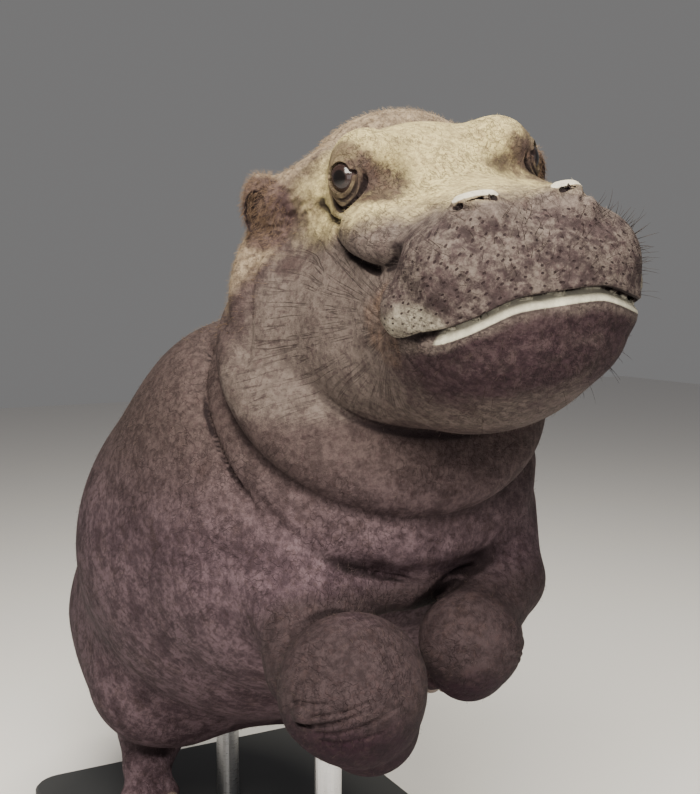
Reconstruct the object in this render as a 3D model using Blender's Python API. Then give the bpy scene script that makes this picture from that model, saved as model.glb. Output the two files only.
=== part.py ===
# A young common hippopotamus, swimming, as a still display model at life size.
# Metres, +Z up. The calf faces -Y and its left side is +X. The origin is the middle of
# the underside of the stand's flat base.
#
# The body is one smooth shape, built from rounded masses that run into one another,
# then parted into its named pieces with thin cuts. Eyes and nails sit in hollows.

import math

import bmesh
import bpy
import numpy as np
import openvdb
from mathutils import Matrix, Vector

# Driving dimensions
GAP = 0.0003              # clearance between neighbouring pieces
CUT = 0.0006              # thickness of the cuts that part the body
CELL = 0.006              # grid on which the body's surface is found
BODY_TRIANGLES = 3300     # of the whole body, before it is parted
COAT = 0.002              # depth of the coat over the skin

CHEST = (0.0, -0.27, 0.726)          # ends of the trunk's axis
RUMP = (0.0, 0.27, 0.405)
NECK_YAW, NECK_ROLL = -8.0, -6.0
HEAD_AT = (0.024, -0.403, 1.016)     # middle of the skull
HEAD_YAW, HEAD_PITCH, HEAD_ROLL = -10.2, 8.0, -7.5

EYE_AT = (0.108, -0.057, 0.085)      # in the head's own frame, on its left
EYE_AIM = (0.79, -0.61, 0.10)
EYE_RADIUS = 0.021
LID_OPENING = (0.0150, 0.0165)       # half width and half height

BASE_SIZE = (0.60, 0.92, 0.030)
BASE_CORNER = 0.05
BASE_CHAMFER = 0.004
ROD_RADIUS = 0.020
ROD_SINK = 0.035                     # how far a rod goes into the body or the base
ROD_FEET = {"front": (0.0, -0.185), "rear": (0.0, 0.215)}
ROD_HEIGHTS = {"front": 0.470, "rear": 0.285}

# Each limb as four joints with the flesh's radius at each: shoulder or hip, elbow or
# knee, wrist or hock, and the root of the toes.
LIMBS = {
    "foreleg_right": (
        ((-0.120, -0.330, 0.640), 0.085),
        ((-0.148, -0.452, 0.516), 0.062),
        ((-0.151, -0.545, 0.516), 0.079),
        ((-0.122, -0.528, 0.466), 0.058),
    ),
    "foreleg_left": (
        ((0.138, -0.350, 0.680), 0.080),
        ((0.124, -0.435, 0.580), 0.056),
        ((0.034, -0.500, 0.527), 0.059),
        ((0.040, -0.485, 0.495), 0.046),
    ),
    "hindleg_right": (
        ((-0.118, 0.260, 0.370), 0.125),
        ((-0.166, 0.130, 0.308), 0.092),
        ((-0.130, 0.235, 0.190), 0.060),
        ((-0.165, 0.165, 0.150), 0.042),
    ),
    "hindleg_left": (
        ((0.118, 0.260, 0.370), 0.125),
        ((0.166, 0.130, 0.308), 0.092),
        ((0.130, 0.235, 0.205), 0.060),
        ((0.165, 0.165, 0.176), 0.042),
    ),
}
TOE_AIMS = {                         # where the toes point, and the line they stand along
    "foreleg_right": ((0.42, 0.82, -0.39), (0.90, -0.36, 0.10)),
    "foreleg_left": ((0.25, 0.80, -0.54), (0.95, -0.28, 0.10)),
    "hindleg_right": ((-0.10, -0.55, -0.83), (0.98, -0.15, 0.0)),
    "hindleg_left": ((0.10, -0.72, -0.66), (0.98, 0.15, 0.0)),
}
TOE_SPREAD = (-0.034, -0.012, 0.012, 0.034)
TOE_REACH = (0.050, 0.064, 0.064, 0.050)
TOE_RADIUS = 0.0165
NAIL_SIZE = (0.0105, 0.0075, 0.0120)  # half width, half thickness, half length
# What each egg-shaped cut encloses: its middle, half sizes and tilt
SHELLS = {
    "foreleg_right": ((-0.150, -0.530, 0.490), (0.120, 0.170, 0.145), 0),
    "forefoot_right": ((-0.104, -0.472, 0.405), (0.090, 0.076, 0.056), 0),
    "foreleg_left": ((0.062, -0.495, 0.515), (0.120, 0.145, 0.125), 0),
    "forefoot_left": ((0.055, -0.440, 0.455), (0.082, 0.080, 0.064), 20),
    "hindleg_right": ((-0.160, 0.190, 0.165), (0.130, 0.150, 0.125), 0),
    "hindfoot_right": ((-0.167, 0.145, 0.105), (0.080, 0.070, 0.065), 0),
    "hindleg_left": ((0.160, 0.190, 0.180), (0.130, 0.150, 0.125), 0),
    "hindfoot_left": ((0.167, 0.136, 0.134), (0.080, 0.070, 0.065), 0),
    "tail": ((0.0, 0.600, 0.290), (0.075, 0.085, 0.130), 0),
}
TAIL = ((0.0, 0.470, 0.400), (0.0, 0.560, 0.330), (0.0, 0.585, 0.235))
TAIL_RADII = (0.050, 0.030, 0.014)


def turn(yaw=0.0, pitch=0.0, roll=0.0):
    """Rotation matrix in degrees: yaw to its left, nose down, then roll."""
    a, b, c = math.radians(yaw), math.radians(pitch), math.radians(roll)
    about_z = [[math.cos(a), -math.sin(a), 0], [math.sin(a), math.cos(a), 0], [0, 0, 1]]
    about_x = [[1, 0, 0], [0, math.cos(b), -math.sin(b)], [0, math.sin(b), math.cos(b)]]
    about_y = [[math.cos(c), 0, math.sin(c)], [0, 1, 0], [-math.sin(c), 0, math.cos(c)]]
    return np.array(about_z) @ np.array(about_x) @ np.array(about_y)


TRUNK_TURN = turn(0, -31)
TRUNK_MIDDLE = (np.array(CHEST) + RUMP) / 2
HEAD_TURN = turn(HEAD_YAW, HEAD_PITCH, HEAD_ROLL)


def length(vectors):
    return np.sqrt((vectors * vectors).sum(-1))


def mirrored(points, place, turning):
    """The points in a piece's own frame, with its two sides folded together."""
    own = (points - np.float32(place)) @ turning.astype(np.float32)
    own[:, 0] = np.abs(own[:, 0])
    return own


def egg(points, centre, radii, pitch=0.0, yaw=0.0, roll=0.0):
    """Distance to an ellipsoid."""
    own = points - np.float32(centre)
    if pitch or yaw or roll:
        own = own @ turn(yaw, pitch, roll).astype(np.float32)
    own = own / np.float32(radii)
    near, steep = length(own), length(own / np.float32(radii))
    return near * (near - 1) / np.maximum(steep, 1e-6)


def taper(points, start, end, start_radius, end_radius):
    """Distance to a round bar whose radius changes along it."""
    start, end = np.float32(start), np.float32(end)
    run = end - start
    along = np.clip(((points - start) @ run) / (run @ run), 0, 1)
    radius = start_radius + (end_radius - start_radius) * along
    return length(points - start - along[:, None] * run) - radius


def join(one, other, soft):
    """Union of two distances, rounded over the width soft."""
    blend = np.maximum(soft - np.abs(one - other), 0) / soft
    return np.minimum(one, other) - blend * blend * soft / 4


def carve(one, other, soft):
    return -join(-one, other, soft)


def ramp(values, low, high):
    part = np.clip((values - low) / (high - low), 0, 1)
    return part * part * (3 - 2 * part)


def ridge(values, width):
    return np.exp(-((values / width) ** 2))


def frame_along(aim, across):
    """Matrix whose y axis is aim and whose x axis is near across."""
    y_axis = np.array(aim) / np.linalg.norm(aim)
    z_axis = np.cross(across, y_axis)
    z_axis = z_axis / np.linalg.norm(z_axis)
    return np.stack([np.cross(y_axis, z_axis), y_axis, z_axis], 1)


def line_distance(points, line):
    """Distance to a line of points, and how far along it."""
    nearest = np.full(len(points), 9, np.float32)
    place = np.zeros(len(points), np.float32)
    for index, (start, end) in enumerate(zip(line[:-1], line[1:])):
        start, run = np.float32(start), np.float32(end) - np.float32(start)
        along = np.clip((points - start) @ run / (run @ run), 0, 1)
        away = length(points - start - along[:, None] * run)
        closer = away < nearest
        nearest[closer] = away[closer]
        place[closer] = index + along[closer]
    return nearest, place / (len(line) - 1)


def fold(points, core, line, width, depth, ends=0.15):
    """A fold along a line, as seen from a point inside."""
    core = np.float32(core)
    line = np.float32(line) - core
    reach = length(line).mean()
    line = line / length(line)[:, None] * reach
    spokes = points - core
    away, place = line_distance(spokes / np.maximum(length(spokes), 0.01)[:, None] * reach, line)
    return depth * ridge(away, width) * ramp(place, 0, ends) * ramp(1 - place, 0, ends)


def both_sides(points):
    folded = points.copy()
    folded[:, 0] = np.abs(folded[:, 0])
    return folded


def only_at(shape, own, centre, reach, detail):
    """Adds detail inside a ball."""
    near = length(own - np.float32(centre)) < reach
    if near.any():
        shape[near] = detail(own[near], shape[near])
    return shape


def only_near(shape, points, centre, extent):
    """Works a piece out only where it can matter."""
    away = length(points - np.float32(centre))
    result = away - np.float32(extent)
    near = away < extent + 0.10
    if near.any():
        result[near] = shape(points[near])
    return result


def trunk_shape(points):
    own = mirrored(points, TRUNK_MIDDLE, TRUNK_TURN)
    shape = egg(own, (0, -0.24, 0.01), (0.228, 0.25, 0.240))
    shape = join(shape, egg(own, (0, -0.02, 0.0), (0.308, 0.39, 0.286)), 0.10)
    shape = join(shape, egg(own, (0, 0.29, -0.01), (0.235, 0.28, 0.240)), 0.10)
    shoulder = egg(own, (0.15, -0.20, 0.05), (0.10, 0.18, 0.17))
    haunch = egg(own, (0.105, 0.30, -0.05), (0.115, 0.19, 0.20))
    behind_elbow = egg(own, (0.122, -0.215, -0.118), (0.118, 0.145, 0.142), pitch=31)
    for mass in (shoulder, haunch, behind_elbow):
        shape = join(shape, mass, 0.06)
    return shape


def neck_shape(points):
    """Rolls of skin from the chest up to behind the ears."""
    rolls = (
        ((0.000, -0.270, 0.735), (0.236, 0.105, 0.250), -48),
        ((0.000, -0.300, 0.782), (0.226, 0.085, 0.240), -48),
        ((0.002, -0.345, 0.850), (0.218, 0.090, 0.220), -44),
        ((0.004, -0.335, 0.925), (0.202, 0.090, 0.190), -22),
    )
    shape = None
    for middle, radii, tilt in rolls:
        roll = egg(points, middle, radii, tilt, NECK_YAW, NECK_ROLL)
        shape = roll if shape is None else join(shape, roll, 0.010)
    own = mirrored(points, HEAD_AT, HEAD_TURN)
    side = egg(own, (0.085, 0.055, -0.045), (0.108, 0.070, 0.146), pitch=-8)          # behind the cheeks
    nape = egg(own, (0, 0.090, 0.045), (0.128, 0.078, 0.107))
    return join(shape, join(side, nape, 0.03), 0.010)


def box_egg(points, centre, radii, power, narrowing=0.0):
    """Squarer than an egg, narrower upwards."""
    own = np.abs(points - np.float32(centre))
    own[:, 0] = own[:, 0] / (1 - narrowing * np.clip(points[:, 2] - centre[2], 0, 0.12))
    near = ((own / np.float32(radii)) ** power).sum(-1) ** (1 / power)
    return (near - 1) * length(own) / np.maximum(near, 0.2)


def lip_height(aside):
    """Height of the closed mouth, level in front and lower to the sides."""
    past = aside - 0.048
    return -0.017 - 0.26 * (np.sqrt(past * past + 0.0002) + past)


def eye_shape(own, shape):
    """The lids round the eyeball, swollen out of the brow."""
    facing = frame_along(EYE_AIM, (0.61, 0.79, 0.0)).astype(np.float32)
    local = (own - np.float32(EYE_AT)) @ facing
    return join(shape, egg(local, (0, -0.0085, 0.001), (0.0285, 0.0330, 0.0330)), 0.008)


HEAD_FOLDS = {  # inside point, then the line of each fold in the head's own frame
    "core": (0.04, -0.02, 0.0),
    "nape": ((0.098, 0.066, 0.110), (0.080, 0.076, 0.128), (0.062, 0.071, 0.136), (0.037, 0.065, 0.142),
             (0.011, 0.064, 0.145), (0.0, 0.063, 0.145)),
    "cheekbone": ((0.132, -0.050, 0.030), (0.134, -0.080, 0.017), (0.135, -0.120, 0.006),
                  (0.131, -0.150, 0.001), (0.124, -0.171, -0.004), (0.118, -0.192, -0.006)),
}


def head_shape(points):
    own = mirrored(points, HEAD_AT, HEAD_TURN)
    aside, back, up = own[:, 0], own[:, 1], own[:, 2]
    skull = egg(own, (0, 0.01, 0.045), (0.128, 0.125, 0.092))
    skull = join(skull, egg(own, (0.082, -0.042, 0.096), (0.041, 0.054, 0.042), roll=-14), 0.025)  # brow
    skull = join(skull, egg(own, (0, -0.15, 0.022), (0.088, 0.17, 0.058), pitch=3), 0.04)          # bridge
    roll = egg(own, (0.094, -0.110, 0.026), (0.046, 0.100, 0.038), pitch=6, yaw=6)  # under the eye
    skull = join(skull, roll, 0.03)

    muzzle = box_egg(own, (0, -0.240, -0.035), (0.124, 0.119, 0.093), 2.4, 2.2)
    muzzle = join(muzzle, egg(own, (0.068, -0.264, -0.004), (0.059, 0.072, 0.056), roll=10), 0.02)  # pad
    muzzle = join(muzzle, egg(own, (0.046, -0.272, 0.045), (0.032, 0.042, 0.028)), 0.015)          # nostril
    muzzle = join(muzzle, egg(own, (0.110, -0.243, -0.037), (0.035, 0.045, 0.035), yaw=6), 0.012)  # lobe
    chin = box_egg(own, (0, -0.205, -0.060), (0.130, 0.147, 0.096), 2.3)
    throat = egg(own, (0, -0.118, -0.120), (0.132, 0.166, 0.092))
    cheek = egg(own, (0.100, -0.022, -0.106), (0.090, 0.140, 0.113))
    cheek = join(cheek, egg(own, (0.088, -0.09, -0.045), (0.058, 0.11, 0.070)), 0.03)
    throat = join(throat, cheek, 0.05)

    front = ramp(-back, 0.19, 0.215)
    above = up - lip_height(aside)
    muzzle = np.maximum(muzzle, -above * front - (1 - front) * 0.02)
    shape = join(skull, join(chin, throat, 0.04), 0.004 + 0.04 * ramp(back, -0.09, -0.04))
    shape = join(shape, muzzle, 0.004 + 0.03 * ramp(up, 0.005, 0.03))
    lips = ramp(-back, 0.262, 0.295)
    parting = 0.0026 * ridge(above - 0.0004, 0.0022) - 0.0022 * ridge(above - 0.0065, 0.0060)
    shelf = 0.0068 * ramp(-above, 0.0, 0.0105) * (1 - ramp(-above, 0.012, 0.045))
    shape = shape + lips * (parting - shelf)
    away = line_distance(own, ((0, -0.29, 0.06), (0, -0.345, 0.03), (0, -0.38, -0.02)))[0]
    shape = shape + 0.0085 * ridge(away, 0.012)
    for name, wide, deep in (("nape", 0.014, 0.006), ("cheekbone", 0.010, 0.006)):
        shape = shape + fold(own, HEAD_FOLDS["core"], HEAD_FOLDS[name], wide, deep)
    return only_at(shape, own, EYE_AT, 0.085, eye_shape)


def ear_shape(points):
    own = (points - np.float32(HEAD_AT)) @ HEAD_TURN.astype(np.float32)
    own[:, 1] -= np.where(own[:, 0] > 0, 0.022, 0)        # the left ear is laid back
    own[:, 0] = np.abs(own[:, 0])
    shell = egg(own, (0.185, 0.062, 0.048), (0.026, 0.022, 0.044), yaw=-20)
    shell = carve(shell, egg(own, (0.196, 0.042, 0.040), (0.017, 0.020, 0.032), yaw=-20), 0.006)
    base = taper(own, (0.100, 0.042, 0.062), (0.162, 0.066, 0.050), 0.054, 0.034)
    return join(shell, base, 0.015)


def toe_tips(name):
    """End of each toe of a foot, and the unit vectors along and across the toes."""
    aim, across = (np.array(v) / np.linalg.norm(v) for v in TOE_AIMS[name])
    root = np.array(LIMBS[name][3][0])
    tips = [root + aim * reach + across * side for side, reach in zip(TOE_SPREAD, TOE_REACH)]
    return tips, aim, across


def limb_shape(points, name, part):
    """Part 0 is the upper arm or thigh, part 1 the rest."""
    joints = LIMBS[name]
    bars = [taper(points, start, end, start_radius, end_radius)
            for (start, start_radius), (end, end_radius) in zip(joints[:-1], joints[1:])]
    if part == 0:
        return bars[0]
    if name.startswith("fore"):  # the wrist stands out as a ball
        (elbow, elbow_radius), (wrist, wrist_radius) = joints[1:3]
        forearm = taper(points, elbow, wrist, elbow_radius, wrist_radius * 0.70)
        bars[1] = join(forearm, length(points - np.float32(wrist)) - wrist_radius, 0.012)
    shape = join(bars[1], bars[2], 0.02)
    for tip in toe_tips(name)[0]:
        start = (np.array(joints[3][0]) + tip) / 2
        shape = join(shape, taper(points, start, tip, TOE_RADIUS * 1.2, TOE_RADIUS), 0.012)
    return shape


def tail_shape(points):
    line, radii = TAIL, TAIL_RADII
    first = taper(points, line[0], line[1], radii[0], radii[1])
    return join(first, taper(points, line[1], line[2], radii[1], radii[2]), 0.02)


NECK_FOLDS = {  # inside point, then the line of each fold, on the right and mirrored to the left
    "core": (0.0, -0.20, 0.70),
    "shoulder": ((0.150, -0.125, 0.890), (0.192, -0.214, 0.870), (0.213, -0.270, 0.796),
                 (0.215, -0.306, 0.759),
                 (0.214, -0.343, 0.723), (0.214, -0.380, 0.697), (0.212, -0.395, 0.660)),
    "breast": ((0.205, -0.380, 0.714), (0.191, -0.417, 0.675), (0.154, -0.452, 0.637),
               (0.112, -0.457, 0.618),
               (0.059, -0.455, 0.604), (0.0, -0.460, 0.595)),
    "nape": ((0.157, -0.320, 1.012), (0.167, -0.324, 0.995), (0.176, -0.329, 0.976), (0.187, -0.345, 0.923),
             (0.193, -0.351, 0.878), (0.202, -0.364, 0.849)),
    "armpit": ((0.236, -0.400, 0.520), (0.222, -0.428, 0.560), (0.200, -0.452, 0.585),
               (0.165, -0.474, 0.600)),
}


def head_points(points):
    return (points - np.float32(HEAD_AT)) @ HEAD_TURN.astype(np.float32)


def body_shape(points):
    shape = join(trunk_shape(points), only_near(neck_shape, points, (0, -0.33, 0.88), 0.36), 0.008)
    folded = both_sides(points)
    for name, wide, narrow in (("shoulder", 0.011, 0.009), ("breast", 0.011, 0.009), ("nape", 0.007, 0.003),
                               ("armpit", 0.006, 0.004)):
        shape = shape + fold(folded, NECK_FOLDS["core"], NECK_FOLDS[name], 0.020, wide)
        shape = shape + fold(folded, NECK_FOLDS["core"], NECK_FOLDS[name], 0.009, narrow)
    own = head_points(points)
    soft = 0.006 + 0.034 * ramp(own[:, 2], -0.17, -0.09) * ramp(np.abs(own[:, 0]), 0.06, 0.13)
    shape = join(shape, only_near(head_shape, points, (0.0, -0.50, 0.97), 0.34), soft)
    shape = join(shape, only_near(ear_shape, points, (0.024, -0.36, 1.06), 0.26), 0.008)
    for name, joints in LIMBS.items():
        middle = np.mean([place for place, radius in joints], 0)
        upper, lower = (
            only_near(lambda p: limb_shape(p, name, part), points, middle, 0.27) for part in (0, 1))
        shape = join(shape, upper, 0.04 if name.startswith("fore") else 0.08)
        if name.startswith("fore"):  # the bent wrist presses a hollow into the chest
            wrist, radius = joints[2]
            hollowed = carve(shape, length(points - np.float32(wrist)) - radius - 0.008, 0.02)
            shape = shape + (hollowed - shape) * ramp(points[:, 2], wrist[2] - 0.02, wrist[2] + 0.05)
        shape = join(shape, lower, 0.008)
    return join(shape, only_near(tail_shape, points, (0, 0.53, 0.33), 0.18), 0.04) - COAT


def corners(counts):
    axes = [np.arange(count) for count in counts]
    return np.stack(np.meshgrid(*axes, indexing="ij"), -1).reshape(-1, 3)


def surface(shape, low, high):
    """Points and quads of the surface where shape is zero, worked out block by block."""
    block = 8
    low = np.array(low)
    counts = np.ceil((np.array(high) - low) / (CELL * block)).astype(int)
    blocks = corners(counts)
    middles = shape(np.float32(low + (blocks + 0.5) * block * CELL))
    far = np.float32(3 * CELL)
    signs = np.where(middles < 0, -far, far).reshape(counts).astype(np.float32)
    field = signs.repeat(block, 0).repeat(block, 1).repeat(block, 2)
    near = blocks[np.abs(middles) < block * CELL * 1.3]
    cells = corners((block, block, block))
    for start in range(0, len(near), 2000):
        index = (near[start:start + 2000, None] * block + cells[None]).reshape(-1, 3)
        values = shape(np.float32(low + (index + 0.5) * CELL))
        field[tuple(index.T)] = np.clip(values, -far, far)
    grid = openvdb.FloatGrid(float(far))
    grid.copyFromArray(field)
    points, quads = grid.convertToQuads(0)
    return (points + 0.5) * CELL + low, quads[:, ::-1]


def material(name, colour, roughness, metallic=0.0):
    made = bpy.data.materials.new(name)
    made.use_nodes = True
    shader = made.node_tree.nodes["Principled BSDF"]
    shader.inputs["Base Color"].default_value = (*colour, 1)
    shader.inputs["Roughness"].default_value = roughness
    shader.inputs["Metallic"].default_value = metallic
    return made


def add_object(name, mesh, looks=None):
    made = bpy.data.objects.new(name, mesh)
    bpy.context.scene.collection.objects.link(made)
    if looks:
        mesh.materials.append(looks)
    return made


def make_helper(obj):
    obj.hide_render = True
    obj.display_type = "WIRE"
    return obj


def apply_modifiers(obj):
    graph = bpy.context.evaluated_depsgraph_get()
    graph.update()
    mesh = bpy.data.meshes.new_from_object(obj.evaluated_get(graph))
    obj.modifiers.clear()
    obj.data = mesh


def subtract(obj, cutters):
    for cutter in cutters:
        boolean = obj.modifiers.new(cutter.name, "BOOLEAN")
        boolean.operation = "DIFFERENCE"
        boolean.solver = "EXACT"
        boolean.object = cutter
    apply_modifiers(obj)
    for cutter in cutters:
        bpy.data.objects.remove(cutter)


def sheet_cutter(name, profile, half_width, place, turning):
    """A sheet as thick as CUT: the profile's (back, up) points, drawn out to both sides."""
    mesh = bpy.data.meshes.new(name)
    shaped = bmesh.new()
    rows = [[shaped.verts.new((side, back, up)) for side in (-half_width, half_width)]
            for back, up in profile]
    for row, after in zip(rows[:-1], rows[1:]):
        shaped.faces.new((row[0], row[1], after[1], after[0]))
    shaped.to_mesh(mesh)
    shaped.free()
    cutter = make_helper(add_object(name, mesh))
    cutter.matrix_world = Matrix.Translation(place) @ Matrix(turning.tolist()).to_4x4()
    solidify = cutter.modifiers.new("thickness", "SOLIDIFY")
    solidify.thickness = CUT
    solidify.offset = 0
    solidify.use_even_offset = True
    return cutter


def ball(name, place, radii, turning=None, looks=None, rings=8):
    """A rounded piece with three half sizes, turned by a matrix."""
    mesh = bpy.data.meshes.new(name)
    shaped = bmesh.new()
    bmesh.ops.create_uvsphere(shaped, u_segments=2 * rings, v_segments=rings, radius=1)
    bmesh.ops.scale(shaped, vec=radii, verts=shaped.verts)
    bmesh.ops.triangulate(shaped, faces=shaped.faces)
    shaped.to_mesh(mesh)
    shaped.free()
    mesh.shade_smooth()
    made = add_object(name, mesh, looks)
    turning = Matrix() if turning is None else Matrix(turning.tolist()).to_4x4()
    made.matrix_world = Matrix.Translation(place) @ turning
    return made


def shell_cutter(name, place, radii, turning):
    """A hollow egg as thick as CUT: what it encloses is parted from the rest."""
    outer = ball(name, place, radii, turning, rings=5)
    inner = ball(f"{name}_inner", place, [half - CUT for half in radii], turning, rings=5)
    shaped = bmesh.new()
    shaped.from_mesh(inner.data)
    bmesh.ops.reverse_faces(shaped, faces=shaped.faces)
    shaped.from_mesh(outer.data)
    shaped.to_mesh(outer.data)
    shaped.free()
    bpy.data.objects.remove(inner)
    return make_helper(outer)


def head_point(place):
    return Vector(HEAD_TURN @ np.array(place) + HEAD_AT)


def make_body():
    points, quads = surface(body_shape, (-0.34, -0.86, 0.04), (0.34, 0.66, 1.22))
    mesh = bpy.data.meshes.new("body")
    mesh.from_pydata(points.tolist(), [], quads.tolist())
    body = add_object("body", mesh)
    decimate = body.modifiers.new("decimate", "DECIMATE")
    decimate.ratio = BODY_TRIANGLES / (2 * len(quads))
    apply_modifiers(body)
    return body


def parting_cuts():
    """One thin cut between each pair of neighbouring pieces of the body."""
    behind_head = ((-0.34, -0.229), (-0.10, -0.231), (-0.01, -0.200), (0.07, -0.112),
                   (0.130, -0.01), (0.145, 0.22))
    cuts = [sheet_cutter("cut_head", behind_head, 0.30, HEAD_AT, HEAD_TURN)]
    across_neck = ((-0.17, 0.0), (0.34, 0.0))
    cuts.append(sheet_cutter("cut_neck", across_neck, 0.34, (-0.005, -0.385, 0.765), turn(0, 40.5, -5)))
    for side in (-1, 1):
        place = head_point((side * 0.205, 0.080 if side > 0 else 0.062, 0.050))
        cuts.append(shell_cutter(f"cut_ear{side}", place, (0.050, 0.055, 0.062), HEAD_TURN))
    for name, (place, radii, pitch) in SHELLS.items():
        cuts.append(shell_cutter(f"cut_{name}", place, radii, turn(0, pitch)))
    return cuts


# Each piece of flesh: a point near its middle, its colour and its roughness
FLESH = {
    "head": (tuple(head_point((0, -0.13, -0.03))), (0.42, 0.33, 0.27), 0.55),
    "neck": ((0.010, -0.36, 0.88), (0.36, 0.28, 0.23), 0.60),
    "trunk": ((0.0, 0.02, 0.55), (0.24, 0.18, 0.16), 0.60),
    "tail": ((0.0, 0.57, 0.30), (0.16, 0.12, 0.11), 0.65),
    "ear_right": (tuple(head_point((-0.19, 0.07, 0.056))), (0.33, 0.22, 0.17), 0.65),
    "ear_left": (tuple(head_point((0.19, 0.07, 0.056))), (0.33, 0.22, 0.17), 0.65),
    "foreleg_right": ((-0.165, -0.50, 0.53), (0.25, 0.19, 0.17), 0.60),
    "foreleg_left": ((0.08, -0.48, 0.57), (0.25, 0.19, 0.17), 0.60),
    "hindleg_right": ((-0.16, 0.17, 0.25), (0.20, 0.14, 0.13), 0.60),
    "hindleg_left": ((0.16, 0.17, 0.25), (0.20, 0.14, 0.13), 0.60),
    "forefoot_right": ((-0.148, -0.51, 0.45), (0.18, 0.13, 0.12), 0.65),
    "forefoot_left": ((0.038, -0.48, 0.475), (0.18, 0.13, 0.12), 0.65),
    "hindfoot_right": ((-0.16, 0.16, 0.14), (0.15, 0.11, 0.10), 0.65),
    "hindfoot_left": ((0.16, 0.16, 0.14), (0.15, 0.11, 0.10), 0.65),
}


def island_meshes(mesh):
    """The separate closed bodies of a mesh, each as a mesh of its own."""
    shaped = bmesh.new()
    shaped.from_mesh(mesh)
    left = set(shaped.verts)
    islands = []
    while left:
        found, reach = set(), [next(iter(left))]
        while reach:
            vert = reach.pop()
            if vert in found:
                continue
            found.add(vert)
            reach.extend(edge.other_vert(vert) for edge in vert.link_edges)
        left -= found
        order = {vert: index for index, vert in enumerate(sorted(found, key=lambda v: v.index))}
        faces = [[order[v] for v in face.verts] for face in shaped.faces if face.verts[0] in found]
        islands.append(([v.co[:] for v in order], faces))
    shaped.free()
    return islands


def part_flesh(body):
    """Names each piece of the parted body by the middle that it is nearest to."""
    pieces = {}
    for points, faces in island_meshes(body.data):
        middle = (np.min(points, 0) + np.max(points, 0)) / 2
        name = min(FLESH, key=lambda key: np.linalg.norm(middle - FLESH[key][0]))
        if name in pieces:
            raise ValueError(f"two pieces near {name}: {middle}")
        mesh = bpy.data.meshes.new(name)
        mesh.from_pydata(points, [], faces)
        mesh.set_sharp_from_angle(angle=math.radians(50))
        pieces[name] = add_object(name, mesh, material(name, *FLESH[name][1:]))
    bpy.data.objects.remove(body)
    return pieces


def make_eyes(head):
    """Eyeballs in round sockets, each behind an opening between the lids."""
    cutters = []
    for side, name in ((-1, "eye_right"), (1, "eye_left")):
        place = head_point((side * EYE_AT[0], *EYE_AT[1:]))
        aim = HEAD_TURN @ np.array((side * EYE_AIM[0], *EYE_AIM[1:]))
        aim = aim / np.linalg.norm(aim)
        facing = frame_along(aim, HEAD_TURN @ np.array((1.0, 0.0, 0.0)))
        looks = material(name, (0.05, 0.03, 0.02), 0.08)
        ball(name, place, (EYE_RADIUS, EYE_RADIUS, EYE_RADIUS), facing, looks)
        hollow = (EYE_RADIUS + GAP) * 1.004
        cutters.append(ball(f"socket_{name}", place, (hollow, hollow, hollow), facing))
        opening = (LID_OPENING[0], 0.026, LID_OPENING[1])
        cutters.append(ball(f"opening_{name}", place + Vector(aim * 0.026), opening, facing, rings=6))
    for cutter in cutters:
        make_helper(cutter)
    subtract(head, cutters)


def make_nails(pieces):
    """Four small hoof-like nails on each foot, each in a hollow of its toe."""
    for name in LIMBS:
        foot_name = name.replace("leg", "foot")
        tips, aim, across = toe_tips(name)
        facing = frame_along(aim, across)
        outer_side = facing[:, 2] if facing[1, 2] < 0 else -facing[:, 2]
        cutters = []
        for number, tip in enumerate(tips, start=1):
            place = Vector(tip + aim * TOE_RADIUS * 0.55 + outer_side * TOE_RADIUS * 0.62)
            size = (NAIL_SIZE[0], NAIL_SIZE[2], NAIL_SIZE[1])
            nail_name = f"nail_{foot_name}_{number}"
            looks = material(nail_name, (0.10, 0.08, 0.07), 0.4)
            ball(nail_name, place, size, facing, looks, rings=4)
            hollow = [half + GAP * 2 for half in size]
            cutters.append(make_helper(ball(f"hollow_{nail_name}", place, hollow, facing, rings=4)))
        subtract(pieces[foot_name], cutters)


def rod_cutter(name, place, radius, low, high, segments=24):
    mesh = bpy.data.meshes.new(name)
    shaped = bmesh.new()
    lift = Matrix.Translation((*place, (low + high) / 2))
    bmesh.ops.create_cone(shaped, cap_ends=True, segments=segments, radius1=radius,
                          radius2=radius, depth=high - low, matrix=lift)
    shaped.to_mesh(mesh)
    shaped.free()
    return add_object(name, mesh)


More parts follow.
